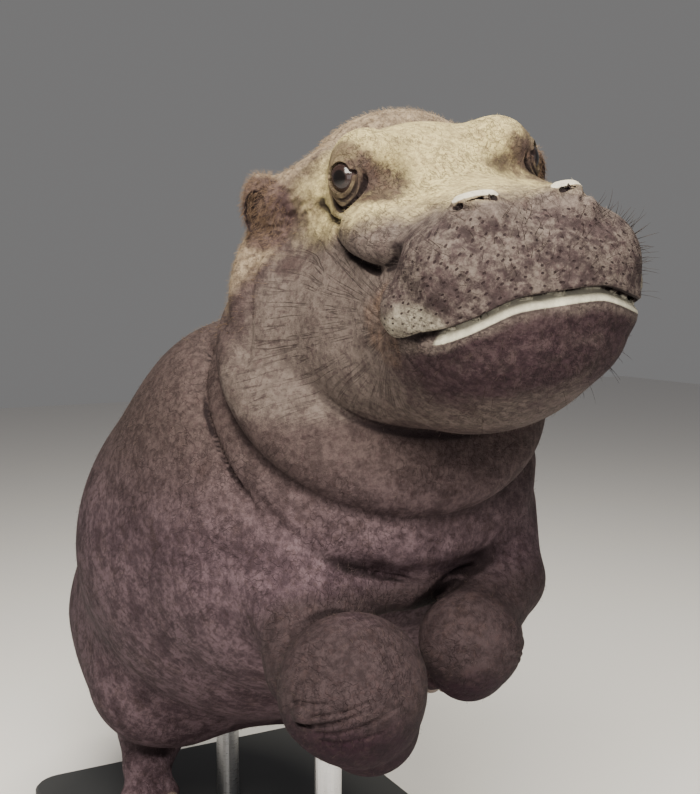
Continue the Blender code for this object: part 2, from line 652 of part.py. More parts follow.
def make_stand(trunk):
    """A flat base on the floor and two upright rods that end in blind holes."""
    width, depth, thick = BASE_SIZE
    mesh = bpy.data.meshes.new("stand_base")
    shaped = bmesh.new()
    bmesh.ops.create_cube(shaped, size=1, matrix=Matrix.Diagonal((width, depth, thick, 1)))
    bmesh.ops.translate(shaped, vec=(0, 0, thick / 2), verts=shaped.verts)
    upright = [edge for edge in shaped.edges if abs(edge.verts[0].co.z - edge.verts[1].co.z) > thick / 2]
    bmesh.ops.bevel(shaped, geom=upright, offset=BASE_CORNER, segments=6, affect="EDGES", profile=0.5)
    upper = [edge for edge in shaped.edges if min(vert.co.z for vert in edge.verts) > thick - GAP]
    bmesh.ops.bevel(shaped, geom=upper, offset=BASE_CHAMFER, segments=1, affect="EDGES")
    shaped.to_mesh(mesh)
    shaped.free()
    base = add_object("stand_base", mesh, material("stand_base", (0.045, 0.045, 0.048), 0.45))
    base_holes, body_holes = [], []
    for key, place in ROD_FEET.items():
        foot, top = thick - thick / 2, ROD_HEIGHTS[key] + ROD_SINK
        rod = rod_cutter(f"stand_rod_{key}", place, ROD_RADIUS, foot, top)
        rod.data.materials.append(material(rod.name, (0.62, 0.62, 0.64), 0.28, 1.0))
        rod.data.shade_smooth()
        rod.data.set_sharp_from_angle(angle=math.radians(40))
        wide = ROD_RADIUS + GAP * 1.5
        base_holes.append(make_helper(rod_cutter(f"seat_{key}", place, wide, foot - GAP, thick + 0.01)))
        body_holes.append(make_helper(rod_cutter(f"hole_{key}", place, wide, thick + 0.08, top + GAP)))
    subtract(base, base_holes)
    subtract(trunk, body_holes)


def main():
    for obj in list(bpy.data.objects):
        bpy.data.objects.remove(obj)
    body = make_body()
    subtract(body, parting_cuts())
    pieces = part_flesh(body)
    make_eyes(pieces["head"])
    make_nails(pieces)
    make_stand(pieces["trunk"])


main()
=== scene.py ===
import math

import bmesh
import bpy
import numpy as np
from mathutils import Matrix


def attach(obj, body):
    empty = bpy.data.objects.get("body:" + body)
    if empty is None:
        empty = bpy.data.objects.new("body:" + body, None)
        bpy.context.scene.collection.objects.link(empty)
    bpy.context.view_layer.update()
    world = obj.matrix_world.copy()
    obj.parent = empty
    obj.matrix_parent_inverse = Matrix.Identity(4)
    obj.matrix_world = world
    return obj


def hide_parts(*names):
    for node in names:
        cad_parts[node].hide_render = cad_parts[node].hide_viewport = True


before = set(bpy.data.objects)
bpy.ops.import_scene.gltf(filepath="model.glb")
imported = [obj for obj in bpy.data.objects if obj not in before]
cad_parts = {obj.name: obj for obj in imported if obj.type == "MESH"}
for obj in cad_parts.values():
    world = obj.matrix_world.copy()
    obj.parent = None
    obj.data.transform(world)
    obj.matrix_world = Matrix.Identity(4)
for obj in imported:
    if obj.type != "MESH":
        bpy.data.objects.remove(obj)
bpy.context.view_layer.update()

import openvdb
from mathutils import Matrix, Vector


# Shapes are distances in metres, negative inside

def turn(yaw=0.0, pitch=0.0, roll=0.0):  # degrees: yaw to its left, nose down, then roll
    a, b, c = math.radians(yaw), math.radians(pitch), math.radians(roll)
    aboutZ = [[math.cos(a), -math.sin(a), 0], [math.sin(a), math.cos(a), 0], [0, 0, 1]]
    aboutX = [[1, 0, 0], [0, math.cos(b), -math.sin(b)], [0, math.sin(b), math.cos(b)]]
    aboutY = [[math.cos(c), 0, math.sin(c)], [0, 1, 0], [-math.sin(c), 0, math.cos(c)]]
    return np.array(aboutZ) @ np.array(aboutX) @ np.array(aboutY)


def length(vectors):
    return np.sqrt((vectors * vectors).sum(-1))


def awayFrom(place, points):
    return length(points - np.float32(place))


def mirrored(points, place, turning):  # own frame, its two sides folded together
    own = (points - np.float32(place)) @ turning.astype(np.float32)
    own[:, 0] = np.abs(own[:, 0])
    return own


def egg(points, centre, radii, pitch=0.0, yaw=0.0, roll=0.0):
    own = points - np.float32(centre)
    if pitch or yaw or roll:
        own = own @ turn(yaw, pitch, roll).astype(np.float32)
    own = own / np.float32(radii)
    near, steep = length(own), length(own / np.float32(radii))
    return near * (near - 1) / np.maximum(steep, 1e-6)


def taper(points, start, end, startRadius, endRadius):
    start, end = np.float32(start), np.float32(end)
    run = end - start
    along = np.clip(((points - start) @ run) / (run @ run), 0, 1)
    return length(points - start - along[:, None] * run) - (startRadius + (endRadius - startRadius) * along)


def join(one, other, soft):
    blend = np.maximum(soft - np.abs(one - other), 0) / soft
    return np.minimum(one, other) - blend * blend * soft / 4


def carve(one, other, soft):
    return -join(-one, other, soft)


def ramp(values, low, high):
    part = np.clip((values - low) / (high - low), 0, 1)
    return part * part * (3 - 2 * part)


def ridge(values, width):
    return np.exp(-((values / width) ** 2))


def lineDistance(points, line):  # distance to a line of points, and how far along it
    nearest = np.full(len(points), 9, np.float32)
    place = np.zeros(len(points), np.float32)
    for index, (start, end) in enumerate(zip(line[:-1], line[1:])):
        start, run = np.float32(start), np.float32(end) - np.float32(start)
        along = np.clip((points - start) @ run / (run @ run), 0, 1)
        away = length(points - start - along[:, None] * run)
        closer = away < nearest
        nearest[closer] = away[closer]
        place[closer] = index + along[closer]
    return nearest, place / (len(line) - 1)


def fold(points, core, line, width, depth, ends=0.15):  # a fold along a line, as seen from a point inside
    core = np.float32(core)
    line = np.float32(line) - core
    reach = length(line).mean()
    line = line / length(line)[:, None] * reach
    spokes = points - core
    away, place = lineDistance(spokes / np.maximum(length(spokes), 0.01)[:, None] * reach, line)
    return depth * ridge(away, width) * ramp(place, 0, ends) * ramp(1 - place, 0, ends)


def onlyAt(shape, own, centre, reach, detail):  # adds detail inside a ball
    near = awayFrom(centre, own) < reach
    if near.any():
        shape[near] = detail(own[near], shape[near])
    return shape


def frameAlong(aim, across):
    along = np.array(aim) / np.linalg.norm(aim)
    rise = np.cross(across, along)
    rise = rise / np.linalg.norm(rise)
    return np.stack([np.cross(along, rise), along, rise], 1)


def onlyNear(shape, points, centre, extent):  # works a piece out only where it can matter
    away = awayFrom(centre, points)
    result = away - np.float32(extent)
    near = away < extent + 0.10
    if near.any():
        result[near] = shape(points[near])
    return result


# The calf's build, as in the solids
trunk = {"chest": (0.0, -0.27, 0.726), "rump": (0.0, 0.27, 0.405), "pitch": -31}
trunkTurn = turn(0, trunk["pitch"])
trunkMiddle = (np.array(trunk["chest"]) + trunk["rump"]) / 2
neck = {"yaw": -8.0, "roll": -6.0}
head = {"place": (0.024, -0.403, 1.016), "yaw": -10.2, "pitch": 8.0, "roll": -7.5}
headTurn = turn(head["yaw"], head["pitch"], head["roll"])
eye = {"place": (0.108, -0.057, 0.085), "aim": (0.79, -0.61, 0.10), "radius": 0.021, "gap": 0.0002,
       "openWide": 0.0150, "openHigh": 0.0165}
limbs = {  # shoulder or hip, elbow or knee, wrist or hock, root of the toes
    "foreleg_right": (((-0.120, -0.330, 0.640), 0.085), ((-0.148, -0.452, 0.516), 0.062),
                      ((-0.151, -0.545, 0.516), 0.079), ((-0.122, -0.528, 0.466), 0.058)),
    "foreleg_left": (((0.138, -0.350, 0.680), 0.080), ((0.124, -0.435, 0.580), 0.056),
                     ((0.034, -0.500, 0.527), 0.059), ((0.040, -0.485, 0.495), 0.046)),
    "hindleg_right": (((-0.118, 0.260, 0.370), 0.125), ((-0.166, 0.130, 0.308), 0.092),
                      ((-0.130, 0.235, 0.190), 0.060), ((-0.165, 0.165, 0.150), 0.042)),
    "hindleg_left": (((0.118, 0.260, 0.370), 0.125), ((0.166, 0.130, 0.308), 0.092),
                     ((0.130, 0.235, 0.205), 0.060), ((0.165, 0.165, 0.176), 0.042)),
}
toes = {
    "aims": {"foreleg_right": ((0.42, 0.82, -0.39), (0.90, -0.36, 0.10)),
             "foreleg_left": ((0.25, 0.80, -0.54), (0.95, -0.28, 0.10)),
             "hindleg_right": ((-0.10, -0.55, -0.83), (0.98, -0.15, 0.0)),
             "hindleg_left": ((0.10, -0.72, -0.66), (0.98, 0.15, 0.0))},
    "spread": (-0.034, -0.012, 0.012, 0.034), "reach": (0.050, 0.064, 0.064, 0.050), "radius": 0.0165,
}
tail = {"line": ((0.0, 0.470, 0.400), (0.0, 0.560, 0.330), (0.0, 0.585, 0.235)),
        "radii": (0.050, 0.030, 0.014)}


def headPoints(points):  # in the head's own frame
    return (points - np.float32(head["place"])) @ headTurn.astype(np.float32)


def headSides(points):  # the same, with the two sides folded together
    return mirrored(points, head["place"], headTurn)


def trunkShape(points):
    own = mirrored(points, trunkMiddle, trunkTurn)
    shape = egg(own, (0, -0.24, 0.01), (0.228, 0.25, 0.240))
    shape = join(shape, egg(own, (0, -0.02, 0.0), (0.308, 0.39, 0.286)), 0.10)
    shape = join(shape, egg(own, (0, 0.29, -0.01), (0.235, 0.28, 0.240)), 0.10)
    shoulder = egg(own, (0.15, -0.20, 0.05), (0.10, 0.18, 0.17))
    haunch = egg(own, (0.105, 0.30, -0.05), (0.115, 0.19, 0.20))
    behindElbow = egg(own, (0.122, -0.215, -0.118), (0.118, 0.145, 0.142), pitch=31)
    for mass in (shoulder, haunch, behindElbow):
        shape = join(shape, mass, 0.06)
    return shape


def neckShape(points):  # rolls of skin from the chest up to behind the ears
    rolls = (
        ((0.000, -0.270, 0.735), (0.236, 0.105, 0.250), -48),
        ((0.000, -0.300, 0.782), (0.226, 0.085, 0.240), -48),
        ((0.002, -0.345, 0.850), (0.218, 0.090, 0.220), -44),
        ((0.004, -0.335, 0.925), (0.202, 0.090, 0.190), -22),
    )
    shape = None
    for middle, radii, tilt in rolls:
        roll = egg(points, middle, radii, tilt, neck["yaw"], neck["roll"])
        shape = roll if shape is None else join(shape, roll, 0.010)
    own = headSides(points)
    side = egg(own, (0.085, 0.055, -0.045), (0.108, 0.070, 0.146), pitch=-8)          # behind the cheeks
    nape = egg(own, (0, 0.090, 0.045), (0.128, 0.078, 0.107))
    return join(shape, join(side, nape, 0.03), 0.010)


def boxEgg(points, centre, radii, power, narrowing=0.0):  # squarer than an egg, narrower upwards
    own = np.abs(points - np.float32(centre))
    own[:, 0] = own[:, 0] / (1 - narrowing * np.clip(points[:, 2] - centre[2], 0, 0.12))
    near = ((own / np.float32(radii)) ** power).sum(-1) ** (1 / power)
    return (near - 1) * length(own) / np.maximum(near, 0.2)


def lipHeight(aside):  # height of the closed mouth, level in front and lower to the sides
    past = aside - 0.048
    return -0.017 - 0.26 * (np.sqrt(past * past + 0.0002) + past)


eyeFrame = frameAlong(eye["aim"], (0.61, 0.79, 0.0))      # columns: across, along the gaze, up
nostrilRim = ((0.064, -0.268, 0.0700), (0.056, -0.277, 0.0735), (0.047, -0.282, 0.0750),
              (0.036, -0.284, 0.0750))
nostrilSlit = np.array(nostrilRim) + (0.001, -0.0068, -0.0058)


def nostrilShape(own, shape):  # a closed slit under a raised rim, and the crease below it
    below = ((0.072, -0.266, 0.060), (0.064, -0.284, 0.061), (0.055, -0.296, 0.058), (0.044, -0.304, 0.052))
    rim, slit = lineDistance(own, nostrilRim)[0], lineDistance(own, nostrilSlit)[0]
    shape = shape - 0.0070 * ridge(rim, 0.0085) + 0.0072 * ridge(slit, 0.0026)
    shape = shape - 0.0040 * ridge(awayFrom((0.056, -0.301, 0.053), own), 0.014)
    return shape + fold(own, (0.03, -0.22, 0.0), below, 0.0035, 0.0050)


def eyeShape(own, shape):  # lids round the eyeball, the fold under the brow and the bag below
    local = (own - np.float32(eye["place"])) @ eyeFrame.astype(np.float32)
    across, along, rise = local[:, 0], local[:, 1], local[:, 2]
    facing = ramp(along, 0.0, 0.008)
    shape = join(shape, egg(local, (0, -0.0085, 0.001), (0.0285, 0.0330, 0.0330)), 0.008)
    rings = np.sqrt((across / 0.0295) ** 2 + ((rise - 0.001) / 0.0350) ** 2)
    shape = shape + ramp(along, -0.012, 0.0) * ramp(rise, -0.012, 0.006) * 0.005 * ridge(rings - 1, 0.075)
    inner = np.sqrt((across / 0.0215) ** 2 + ((rise - 0.0005) / 0.0250) ** 2)     # thin crease on the lids
    shape = shape + facing * 0.0009 * ridge(inner - 1, 0.05)
    core = (0.04, -0.06, 0.06)
    bag = ((0.139, 0.008, 0.066), (0.133, 0.002, 0.049), (0.130, -0.023, 0.036), (0.131, -0.062, 0.034),
           (0.130, -0.100, 0.041))
    shape = shape + fold(own, core, bag, 0.0035, 0.0055) + fold(own, core, bag, 0.010, 0.003)
    shape = shape + 0.006 * ridge(awayFrom((0.088, -0.110, 0.088), own), 0.018)
    opening = np.sqrt((across / eye["openWide"]) ** 2 + (rise / eye["openHigh"]) ** 2) - 1
    tear = np.sqrt(((across + 0.0160) / 0.005) ** 2 + ((rise + 0.005) / 0.0022) ** 2) - 1
    opening = join(opening * 0.015, tear * 0.003, 0.003)
    opening = np.maximum(opening, 0.004 - along)
    return carve(shape, opening, 0.0025)


headFolds = {  # inside point, then the line of each fold in the head's own frame
    "core": (0.04, -0.02, 0.0),
    "nape": ((0.098, 0.066, 0.110), (0.080, 0.076, 0.128), (0.062, 0.071, 0.136), (0.037, 0.065, 0.142),
             (0.011, 0.064, 0.145), (0.0, 0.063, 0.145)),
    "cheekbone": ((0.132, -0.050, 0.030), (0.134, -0.080, 0.017), (0.135, -0.120, 0.006),
                  (0.131, -0.150, 0.001), (0.124, -0.171, -0.004), (0.118, -0.192, -0.006)),
}


def headShape(points):
    own = headSides(points)
    aside, back, up = own[:, 0], own[:, 1], own[:, 2]
    skull = egg(own, (0, 0.01, 0.045), (0.128, 0.125, 0.092))
    skull = join(skull, egg(own, (0.082, -0.042, 0.096), (0.041, 0.054, 0.042), roll=-14), 0.025)  # brow
    skull = join(skull, egg(own, (0, -0.15, 0.022), (0.088, 0.17, 0.058), pitch=3), 0.04)          # bridge
    roll = egg(own, (0.094, -0.110, 0.026), (0.046, 0.100, 0.038), pitch=6, yaw=6)  # under the eye
    skull = join(skull, roll, 0.03)

    muzzle = boxEgg(own, (0, -0.240, -0.035), (0.124, 0.119, 0.093), 2.4, 2.2)
    muzzle = join(muzzle, egg(own, (0.068, -0.264, -0.004), (0.059, 0.072, 0.056), roll=10), 0.02)  # pad
    muzzle = join(muzzle, egg(own, (0.046, -0.272, 0.045), (0.032, 0.042, 0.028)), 0.015)          # nostril
    muzzle = join(muzzle, egg(own, (0.110, -0.243, -0.037), (0.035, 0.045, 0.035), yaw=6), 0.012)  # lobe
    chin = boxEgg(own, (0, -0.205, -0.060), (0.130, 0.147, 0.096), 2.3)
    throat = egg(own, (0, -0.118, -0.120), (0.132, 0.166, 0.092))
    cheek = egg(own, (0.100, -0.022, -0.106), (0.090, 0.140, 0.113))
    cheek = join(cheek, egg(own, (0.088, -0.09, -0.045), (0.058, 0.11, 0.070)), 0.03)
    throat = join(throat, cheek, 0.05)

    front = ramp(-back, 0.19, 0.215)
    above = up - lipHeight(aside)
    muzzle = np.maximum(muzzle, -above * front - (1 - front) * 0.02)
    shape = join(skull, join(chin, throat, 0.04), 0.004 + 0.04 * ramp(back, -0.09, -0.04))
    shape = join(shape, muzzle, 0.004 + 0.03 * ramp(up, 0.005, 0.03))
    lips = ramp(-back, 0.262, 0.295)
    parting = 0.0026 * ridge(above - 0.0004, 0.0022) - 0.0022 * ridge(above - 0.0065, 0.0060)
    shelf = 0.0068 * ramp(-above, 0.0, 0.0105) * (1 - ramp(-above, 0.012, 0.045))
    shape = shape + lips * (parting - shelf)
    away = lineDistance(own, ((0, -0.29, 0.06), (0, -0.345, 0.03), (0, -0.38, -0.02)))[0]
    shape = shape + 0.0085 * ridge(away, 0.012)
    for name, wide, deep in (("nape", 0.006, 0.008), ("nape", 0.018, 0.004), ("cheekbone", 0.004, 0.007)):
        shape = shape + fold(own, headFolds["core"], headFolds[name], wide, deep)
    shape = onlyAt(shape, own, (0.052, -0.295, 0.058), 0.065, nostrilShape)
    return onlyAt(shape, own, eye["place"], 0.085, eyeShape)


def earShape(points):
    own = headPoints(points)
    own[:, 1] -= np.where(own[:, 0] > 0, 0.022, 0)        # the left ear is laid back
    own[:, 0] = np.abs(own[:, 0])
    shell = egg(own, (0.185, 0.062, 0.048), (0.026, 0.022, 0.044), yaw=-20)
    shell = carve(shell, egg(own, (0.196, 0.042, 0.040), (0.017, 0.020, 0.032), yaw=-20), 0.006)
    base = taper(own, (0.100, 0.042, 0.062), (0.162, 0.066, 0.050), 0.054, 0.034)
    return join(shell, base, 0.015)


def toeAims(name):  # along the toes and across the foot
    return [np.array(aim) / np.linalg.norm(aim) for aim in toes["aims"][name]]


def toeTips(name):
    aim, across = toeAims(name)
    root = np.array(limbs[name][3][0])
    return [root + aim * reach + across * side for side, reach in zip(toes["spread"], toes["reach"])]


def limbShape(points, name, part):  # part 0 is the upper arm or thigh, part 1 the rest
    joints = limbs[name]
    bars = [taper(points, start, end, startRadius, endRadius)
            for (start, startRadius), (end, endRadius) in zip(joints[:-1], joints[1:])]
    if part == 0:
        return bars[0]
    if name.startswith("fore"):                               # the wrist stands out as a ball
        (elbow, elbowRadius), (wrist, wristRadius) = joints[1:3]
        forearm = taper(points, elbow, wrist, elbowRadius, wristRadius * 0.70)
        bars[1] = join(forearm, awayFrom(wrist, points) - wristRadius, 0.012)
    shape = join(bars[1], bars[2], 0.02)
    for tip in toeTips(name):
        start = (np.array(joints[3][0]) + tip) / 2
        shape = join(shape, taper(points, start, tip, toes["radius"] * 1.2, toes["radius"]), 0.012)
    return shape


def tailShape(points):
    line, radii = tail["line"], tail["radii"]
    first = taper(points, line[0], line[1], radii[0], radii[1])
    return join(first, taper(points, line[1], line[2], radii[1], radii[2]), 0.02)


neckFolds = {  # inside point, then the line of each fold, on the right and mirrored to the left
    "core": (0.0, -0.20, 0.70),
    "shoulder": ((0.150, -0.125, 0.890), (0.192, -0.214, 0.870), (0.213, -0.270, 0.796),
                 (0.215, -0.306, 0.759), (0.214, -0.343, 0.723), (0.214, -0.380, 0.697),
                 (0.212, -0.395, 0.660)),
    "breast": ((0.205, -0.380, 0.714), (0.191, -0.417, 0.675), (0.154, -0.452, 0.637),
               (0.112, -0.457, 0.618), (0.059, -0.455, 0.604), (0.0, -0.460, 0.595)),
    "nape": ((0.157, -0.320, 1.012), (0.167, -0.324, 0.995), (0.176, -0.329, 0.976), (0.187, -0.345, 0.923),
             (0.193, -0.351, 0.878), (0.202, -0.364, 0.849)),
    "armpit": ((0.236, -0.400, 0.520), (0.222, -0.428, 0.560), (0.200, -0.452, 0.585),
               (0.165, -0.474, 0.600)),
}
foldDepths = {"shoulder": (0.011, 0.009), "breast": (0.011, 0.009), "nape": (0.007, 0.003),
              "armpit": (0.006, 0.004)}  # of the broad hollow, and of the sharp crease in it
wristLines = (  # share of the depth, and line, of each fold that fans out from the wrist's knob
    (1.0, ((-0.236, -0.566, 0.503), (-0.226, -0.588, 0.502), (-0.205, -0.606, 0.510),
           (-0.170, -0.620, 0.524))),
    (0.7, ((-0.226, -0.586, 0.512), (-0.212, -0.602, 0.518), (-0.196, -0.612, 0.522),
           (-0.160, -0.624, 0.536))),
    (0.8, ((-0.222, -0.588, 0.496), (-0.200, -0.604, 0.499), (-0.172, -0.616, 0.509),
           (-0.128, -0.616, 0.526))),
    (0.5, ((-0.218, -0.586, 0.488), (-0.196, -0.602, 0.489), (-0.160, -0.612, 0.498),
           (-0.112, -0.606, 0.520))),
    (0.5, ((-0.236, -0.562, 0.520), (-0.234, -0.574, 0.526), (-0.222, -0.592, 0.527),
           (-0.205, -0.604, 0.530))),
)


def wristShape(points, shape):
    side = -1 if points[:, 0].mean() < 0.02 else 1
    right, left = (np.array(limbs[name][2][0]) for name in ("foreleg_right", "foreleg_left"))
    shift = np.zeros(3) if side < 0 else left - right * (-1, 1, 1)
    own = ((points - shift.astype(np.float32)) * np.float32((-side, 1, 1))).astype(np.float32)
    size = 1 if side < 0 else 0.72
    own = (own - right.astype(np.float32)) / np.float32(size) + right.astype(np.float32)
    knob = awayFrom((-0.224, -0.574, 0.512), own) - 0.013
    shape = join(shape, knob * size, 0.006)
    for deep, line in wristLines:
        shape = shape + size * deep * fold(own, (-0.135, -0.50, 0.50), line, 0.0022, 0.0040)
    return shape


def bodyShape(points):
    shape = join(trunkShape(points), onlyNear(neckShape, points, (0, -0.33, 0.88), 0.36), 0.008)
    folded = points.copy()
    folded[:, 0] = np.abs(folded[:, 0])
    for name, (broad, sharp) in foldDepths.items():
        shape = shape + fold(folded, neckFolds["core"], neckFolds[name], 0.020, broad)
        shape = shape + fold(folded, neckFolds["core"], neckFolds[name], 0.0045, sharp)
    own = headPoints(points)
    soft = 0.006 + 0.034 * ramp(own[:, 2], -0.17, -0.09) * ramp(np.abs(own[:, 0]), 0.06, 0.13)
    shape = join(shape, onlyNear(headShape, points, (0.0, -0.50, 0.97), 0.34), soft)
    shape = join(shape, onlyNear(earShape, points, (0.024, -0.36, 1.06), 0.26), 0.008)
    for name, joints in limbs.items():
        middle = np.mean([place for place, radius in joints], 0)
        upper, lower = (onlyNear(lambda p: limbShape(p, name, part), points, middle, 0.27) for part in (0, 1))
        shape = join(shape, upper, 0.04 if name.startswith("fore") else 0.08)
        if name.startswith("fore"):                           # the bent wrist presses a hollow into the chest
            wrist, radius = joints[2]
            hollowed = carve(shape, awayFrom(wrist, points) - radius - 0.008, 0.02)
            shape = shape + (hollowed - shape) * ramp(points[:, 2], wrist[2] - 0.02, wrist[2] + 0.05)
        shape = join(shape, lower, 0.008)
        if name.startswith("fore"):
            shape = onlyAt(shape, points, joints[2][0], 0.125, wristShape)
    return join(shape, onlyNear(tailShape, points, (0, 0.53, 0.33), 0.18), 0.04)


# The skin is found on a grid, made finer where it matters, then settled on the shape
skin = {"cell": 0.005, "inset": 0.0006, "low": (-0.34, -0.86, 0.04), "high": (0.34, 0.66, 1.22)}
finerWithin = {"wrist": 0.12, "wristFolds": 0.085, "eye": 0.060, "lids": 0.036, "ear": 0.075,
               "nostril": 0.033}


def cornersOf(counts):
    axes = [np.arange(count) for count in counts]
    return np.stack(np.meshgrid(*axes, indexing="ij"), -1).reshape(-1, 3)


def surface(shape, low, high, cell):
    block = 8
    low = np.array(low)
    counts = np.ceil((np.array(high) - low) / (cell * block)).astype(int)
    blocks = cornersOf(counts)
    middles = shape(np.float32(low + (blocks + 0.5) * block * cell))
    far = np.float32(3 * cell)
    signs = np.where(middles < 0, -far, far).reshape(counts).astype(np.float32)
    field = signs.repeat(block, 0).repeat(block, 1).repeat(block, 2)
    near = blocks[np.abs(middles) < block * cell * 1.3]
    cells = cornersOf((block, block, block))
    for start in range(0, len(near), 1000):
        index = (near[start:start + 1000, None] * block + cells[None]).reshape(-1, 3)
        values = shape(np.float32(low + (index + 0.5) * cell))
        field[tuple(index.T)] = np.clip(values, -far, far)
    grid = openvdb.FloatGrid(float(far))
    grid.copyFromArray(field)
    points, quads = grid.convertToQuads(0)
    return (points + 0.5) * cell + low, quads


def vectorsOf(items, field, kind=np.float32):  # one row for each item
    flat = np.empty(len(items) * 3, kind)
    items.foreach_get(field, flat)
    return flat.reshape(-1, 3)


def pointsOf(mesh):
    return vectorsOf(mesh.vertices, "co")


def putPoints(mesh, points):
    mesh.vertices.foreach_set("co", np.ascontiguousarray(points, np.float32).ravel())
    mesh.update()


def refine(mesh, wanted):  # splits the faces whose points are all wanted
    shaped = bmesh.new()
    shaped.from_mesh(mesh)
    edges = [edge for edge in shaped.edges if wanted[edge.verts[0].index] and wanted[edge.verts[1].index]]
    bmesh.ops.subdivide_edges(shaped, edges=edges, cuts=1, use_grid_fill=True)
    shaped.to_mesh(mesh)
    shaped.free()


def settle(mesh, shape, rounds=2):  # moves points along the shape's slope onto its surface
    step = 0.0008
    for _ in range(rounds):
        points = pointsOf(mesh)
        here = shape(points)
        ahead = [shape(points + np.float32(axis * step)) for axis in np.eye(3)]
        slope = np.stack([there - here for there in ahead], 1) / step
        size = np.maximum((slope * slope).sum(1, keepdims=True), 0.3)
        putPoints(mesh, points - slope * np.clip(here[:, None], -0.004, 0.004) / size)


def surfaceFolds(points, normals):  # how deep a place lies between its neighbours: 0 open, 1 in a fold; the skin's colour is darkened by it as painted shade
    deep = np.zeros(len(points), np.float32)
    for reach, weight in ((0.004, 0.9), (0.011, 0.7), (0.028, 0.5)):
        away = bodyShape((points + normals * reach).astype(np.float32))
        deep += weight * np.clip(1 - away / reach, 0, 1)
    return np.clip(deep, 0, 1)


hollowShadeSpots = (  # radius and place of each patch of painted shade on the head, mostly in its hollows and grooves, in its own frame
    (0.034, (0.138, 0.030, 0.030)), (0.042, (0.096, -0.108, 0.088)), (0.026, (0.108, -0.240, 0.010)),
    (0.024, (0.062, -0.320, 0.022)), (0.026, (0.168, 0.010, -0.020)), (0.034, (0.178, 0.034, -0.060)),
    (0.034, (0.175, 0.045, -0.120)), (0.020, (0.196, 0.040, 0.034)),
)


def markings(points):  # where the skin changes colour and grain, and where shade or light is painted, each from 0 to 1
    own = headSides(points)
    aside, back, up = own.T
    above = up - lipHeight(aside)
    front = ramp(-back, 0.19, 0.22)
    lobeAway = length((own - np.float32((0.112, -0.266, -0.046))) / np.float32((1, 1.5, 0.75)))
    lobe = 1 - ramp(lobeAway, 0.022, 0.048)
    rim = ramp(-back, 0.290, 0.316) * ramp(-above, 0.0005, 0.0025) * (1 - ramp(-above, 0.0105, 0.0145))
    pads = ramp(-back, 0.19, 0.24) * ramp(above, 0.001, 0.005) * (1 - ramp(up, 0.048, 0.066))
    nostril, slit = lineDistance(own, nostrilRim)[0], lineDistance(own, nostrilSlit)[0]
    eyeAway = awayFrom(eye["place"], own)
    cornerAway = awayFrom((0.128, -0.215, -0.055), own)
    onHead = ramp(-back, -0.06, 0.03) * ramp(up, -0.22, -0.14)
    chin = onHead * ramp(-above, 0.0100, 0.030) * ramp(-back, 0.15, 0.30)
    return {
        "head": onHead,
        # the top of the head: partly its own paler tone, partly painted light from above
        "paleAndLitTop": onHead * ramp(up + 0.25 * back, -0.035, 0.055) * (1 - ramp(-back, 0.29, 0.34)),
        "pads": pads * (1 - lobe),
        "rim": rim,
        "lobe": lobe * front * ramp(above, -0.004, 0.0),
        # painted shade in the head's hollows and grooves
        "stainAndShade": np.max([1 - ramp(awayFrom(spot, own), radius * 0.2, radius * 1.5)
                         for radius, spot in hollowShadeSpots], 0),
        # below the lips: dark purple, partly its own colour, partly painted shade under the jaw
        "chin": chin * (1 - 0.6 * ramp(-above, 0.07, 0.13)),
        "nostril": 1 - ramp(nostril, 0.0060, 0.0090),
        # the nostril slit, where shade is painted
        "slit": 1 - ramp(slit, 0.0012, 0.0036),
        "orbit": 1 - ramp(eyeAway, 0.032, 0.052),
        "cheek": onHead * ramp(back, -0.235, -0.19) * ramp(aside, 0.075, 0.10) * (1 - ramp(up, 0.0, 0.03)),
        "corner": (1 - ramp(cornerAway, 0.03, 0.085)) * ramp(back, -0.262, -0.235),
        "ear": 1 - ramp(awayFrom((0.190, 0.050, 0.045), own), 0.03, 0.06),
        "nape": ramp(back, 0.0, 0.06) * ramp(points[:, 2], 0.86, 1.0),
        "limb": ramp(-points[:, 2], -0.66, -0.55) * ramp(-points[:, 1], 0.36, 0.48),
        "low": ramp(-points[:, 2], -0.95, -0.30),
        # the forefeet, low under the chest, where near-black shade is painted
        "handShade": ramp(-points[:, 2], -0.55, -0.455) * ramp(-points[:, 1], 0.40, 0.48),
    }


def padMap(points):  # the muzzle unrolled: round it, and up from the lips
    own = headSides(points)
    aside, back, up = own.T
    return np.stack([np.arctan2(aside, -back - 0.17) * 0.12, up - lipHeight(aside), aside * 0], 1)


def fanMap(points):  # lines that spread back over the cheek from the corner of the mouth
    own = headSides(points) - np.float32((0.10, -0.245, -0.045))
    reach = length(own[:, 1:]) + 0.02
    return np.stack([np.arctan2(own[:, 2], own[:, 1]) * 0.13, reach * 0.045, own[:, 0] * 0.05], 1)


def giveValues(mesh, name, values):  # a number or a vector for each point of the mesh
    kind, field = ("FLOAT", "value") if values.ndim == 1 else ("FLOAT_VECTOR", "vector")
    layer = mesh.attributes.new(name, kind, "POINT")
    layer.data.foreach_set(field, np.ascontiguousarray(values, np.float32).ravel())


def giveMarkings(mesh, points):
    found = {"padMap": padMap(points), "fanMap": fanMap(points), **markings(points)}
    for name, values in found.items():
        giveValues(mesh, name, values)


def radiate(points):  # wrinkles that fan out from the corner of the mouth, in metres of height
    own = headSides(points)
    fromCorner = own - np.float32((0.125, -0.240, -0.050))
    angle = np.arctan2(fromCorner[:, 2], fromCorner[:, 1])
    reach = np.sqrt(fromCorner[:, 1] ** 2 + fromCorner[:, 2] ** 2)
    wave = np.sin(angle * 24 + 3 * np.sin(reach * 60) + 2 * np.sin(angle * 5))
    window = ramp(reach, 0.008, 0.025) * (1 - ramp(reach, 0.045, 0.095)) * ramp(own[:, 0], 0.07, 0.10)
    window = window * ramp(fromCorner[:, 1], -0.012, 0.012) * ramp(-own[:, 2], 0.005, 0.03)
    return -0.0011 * window * np.maximum(wave - 0.2, 0) ** 0.7


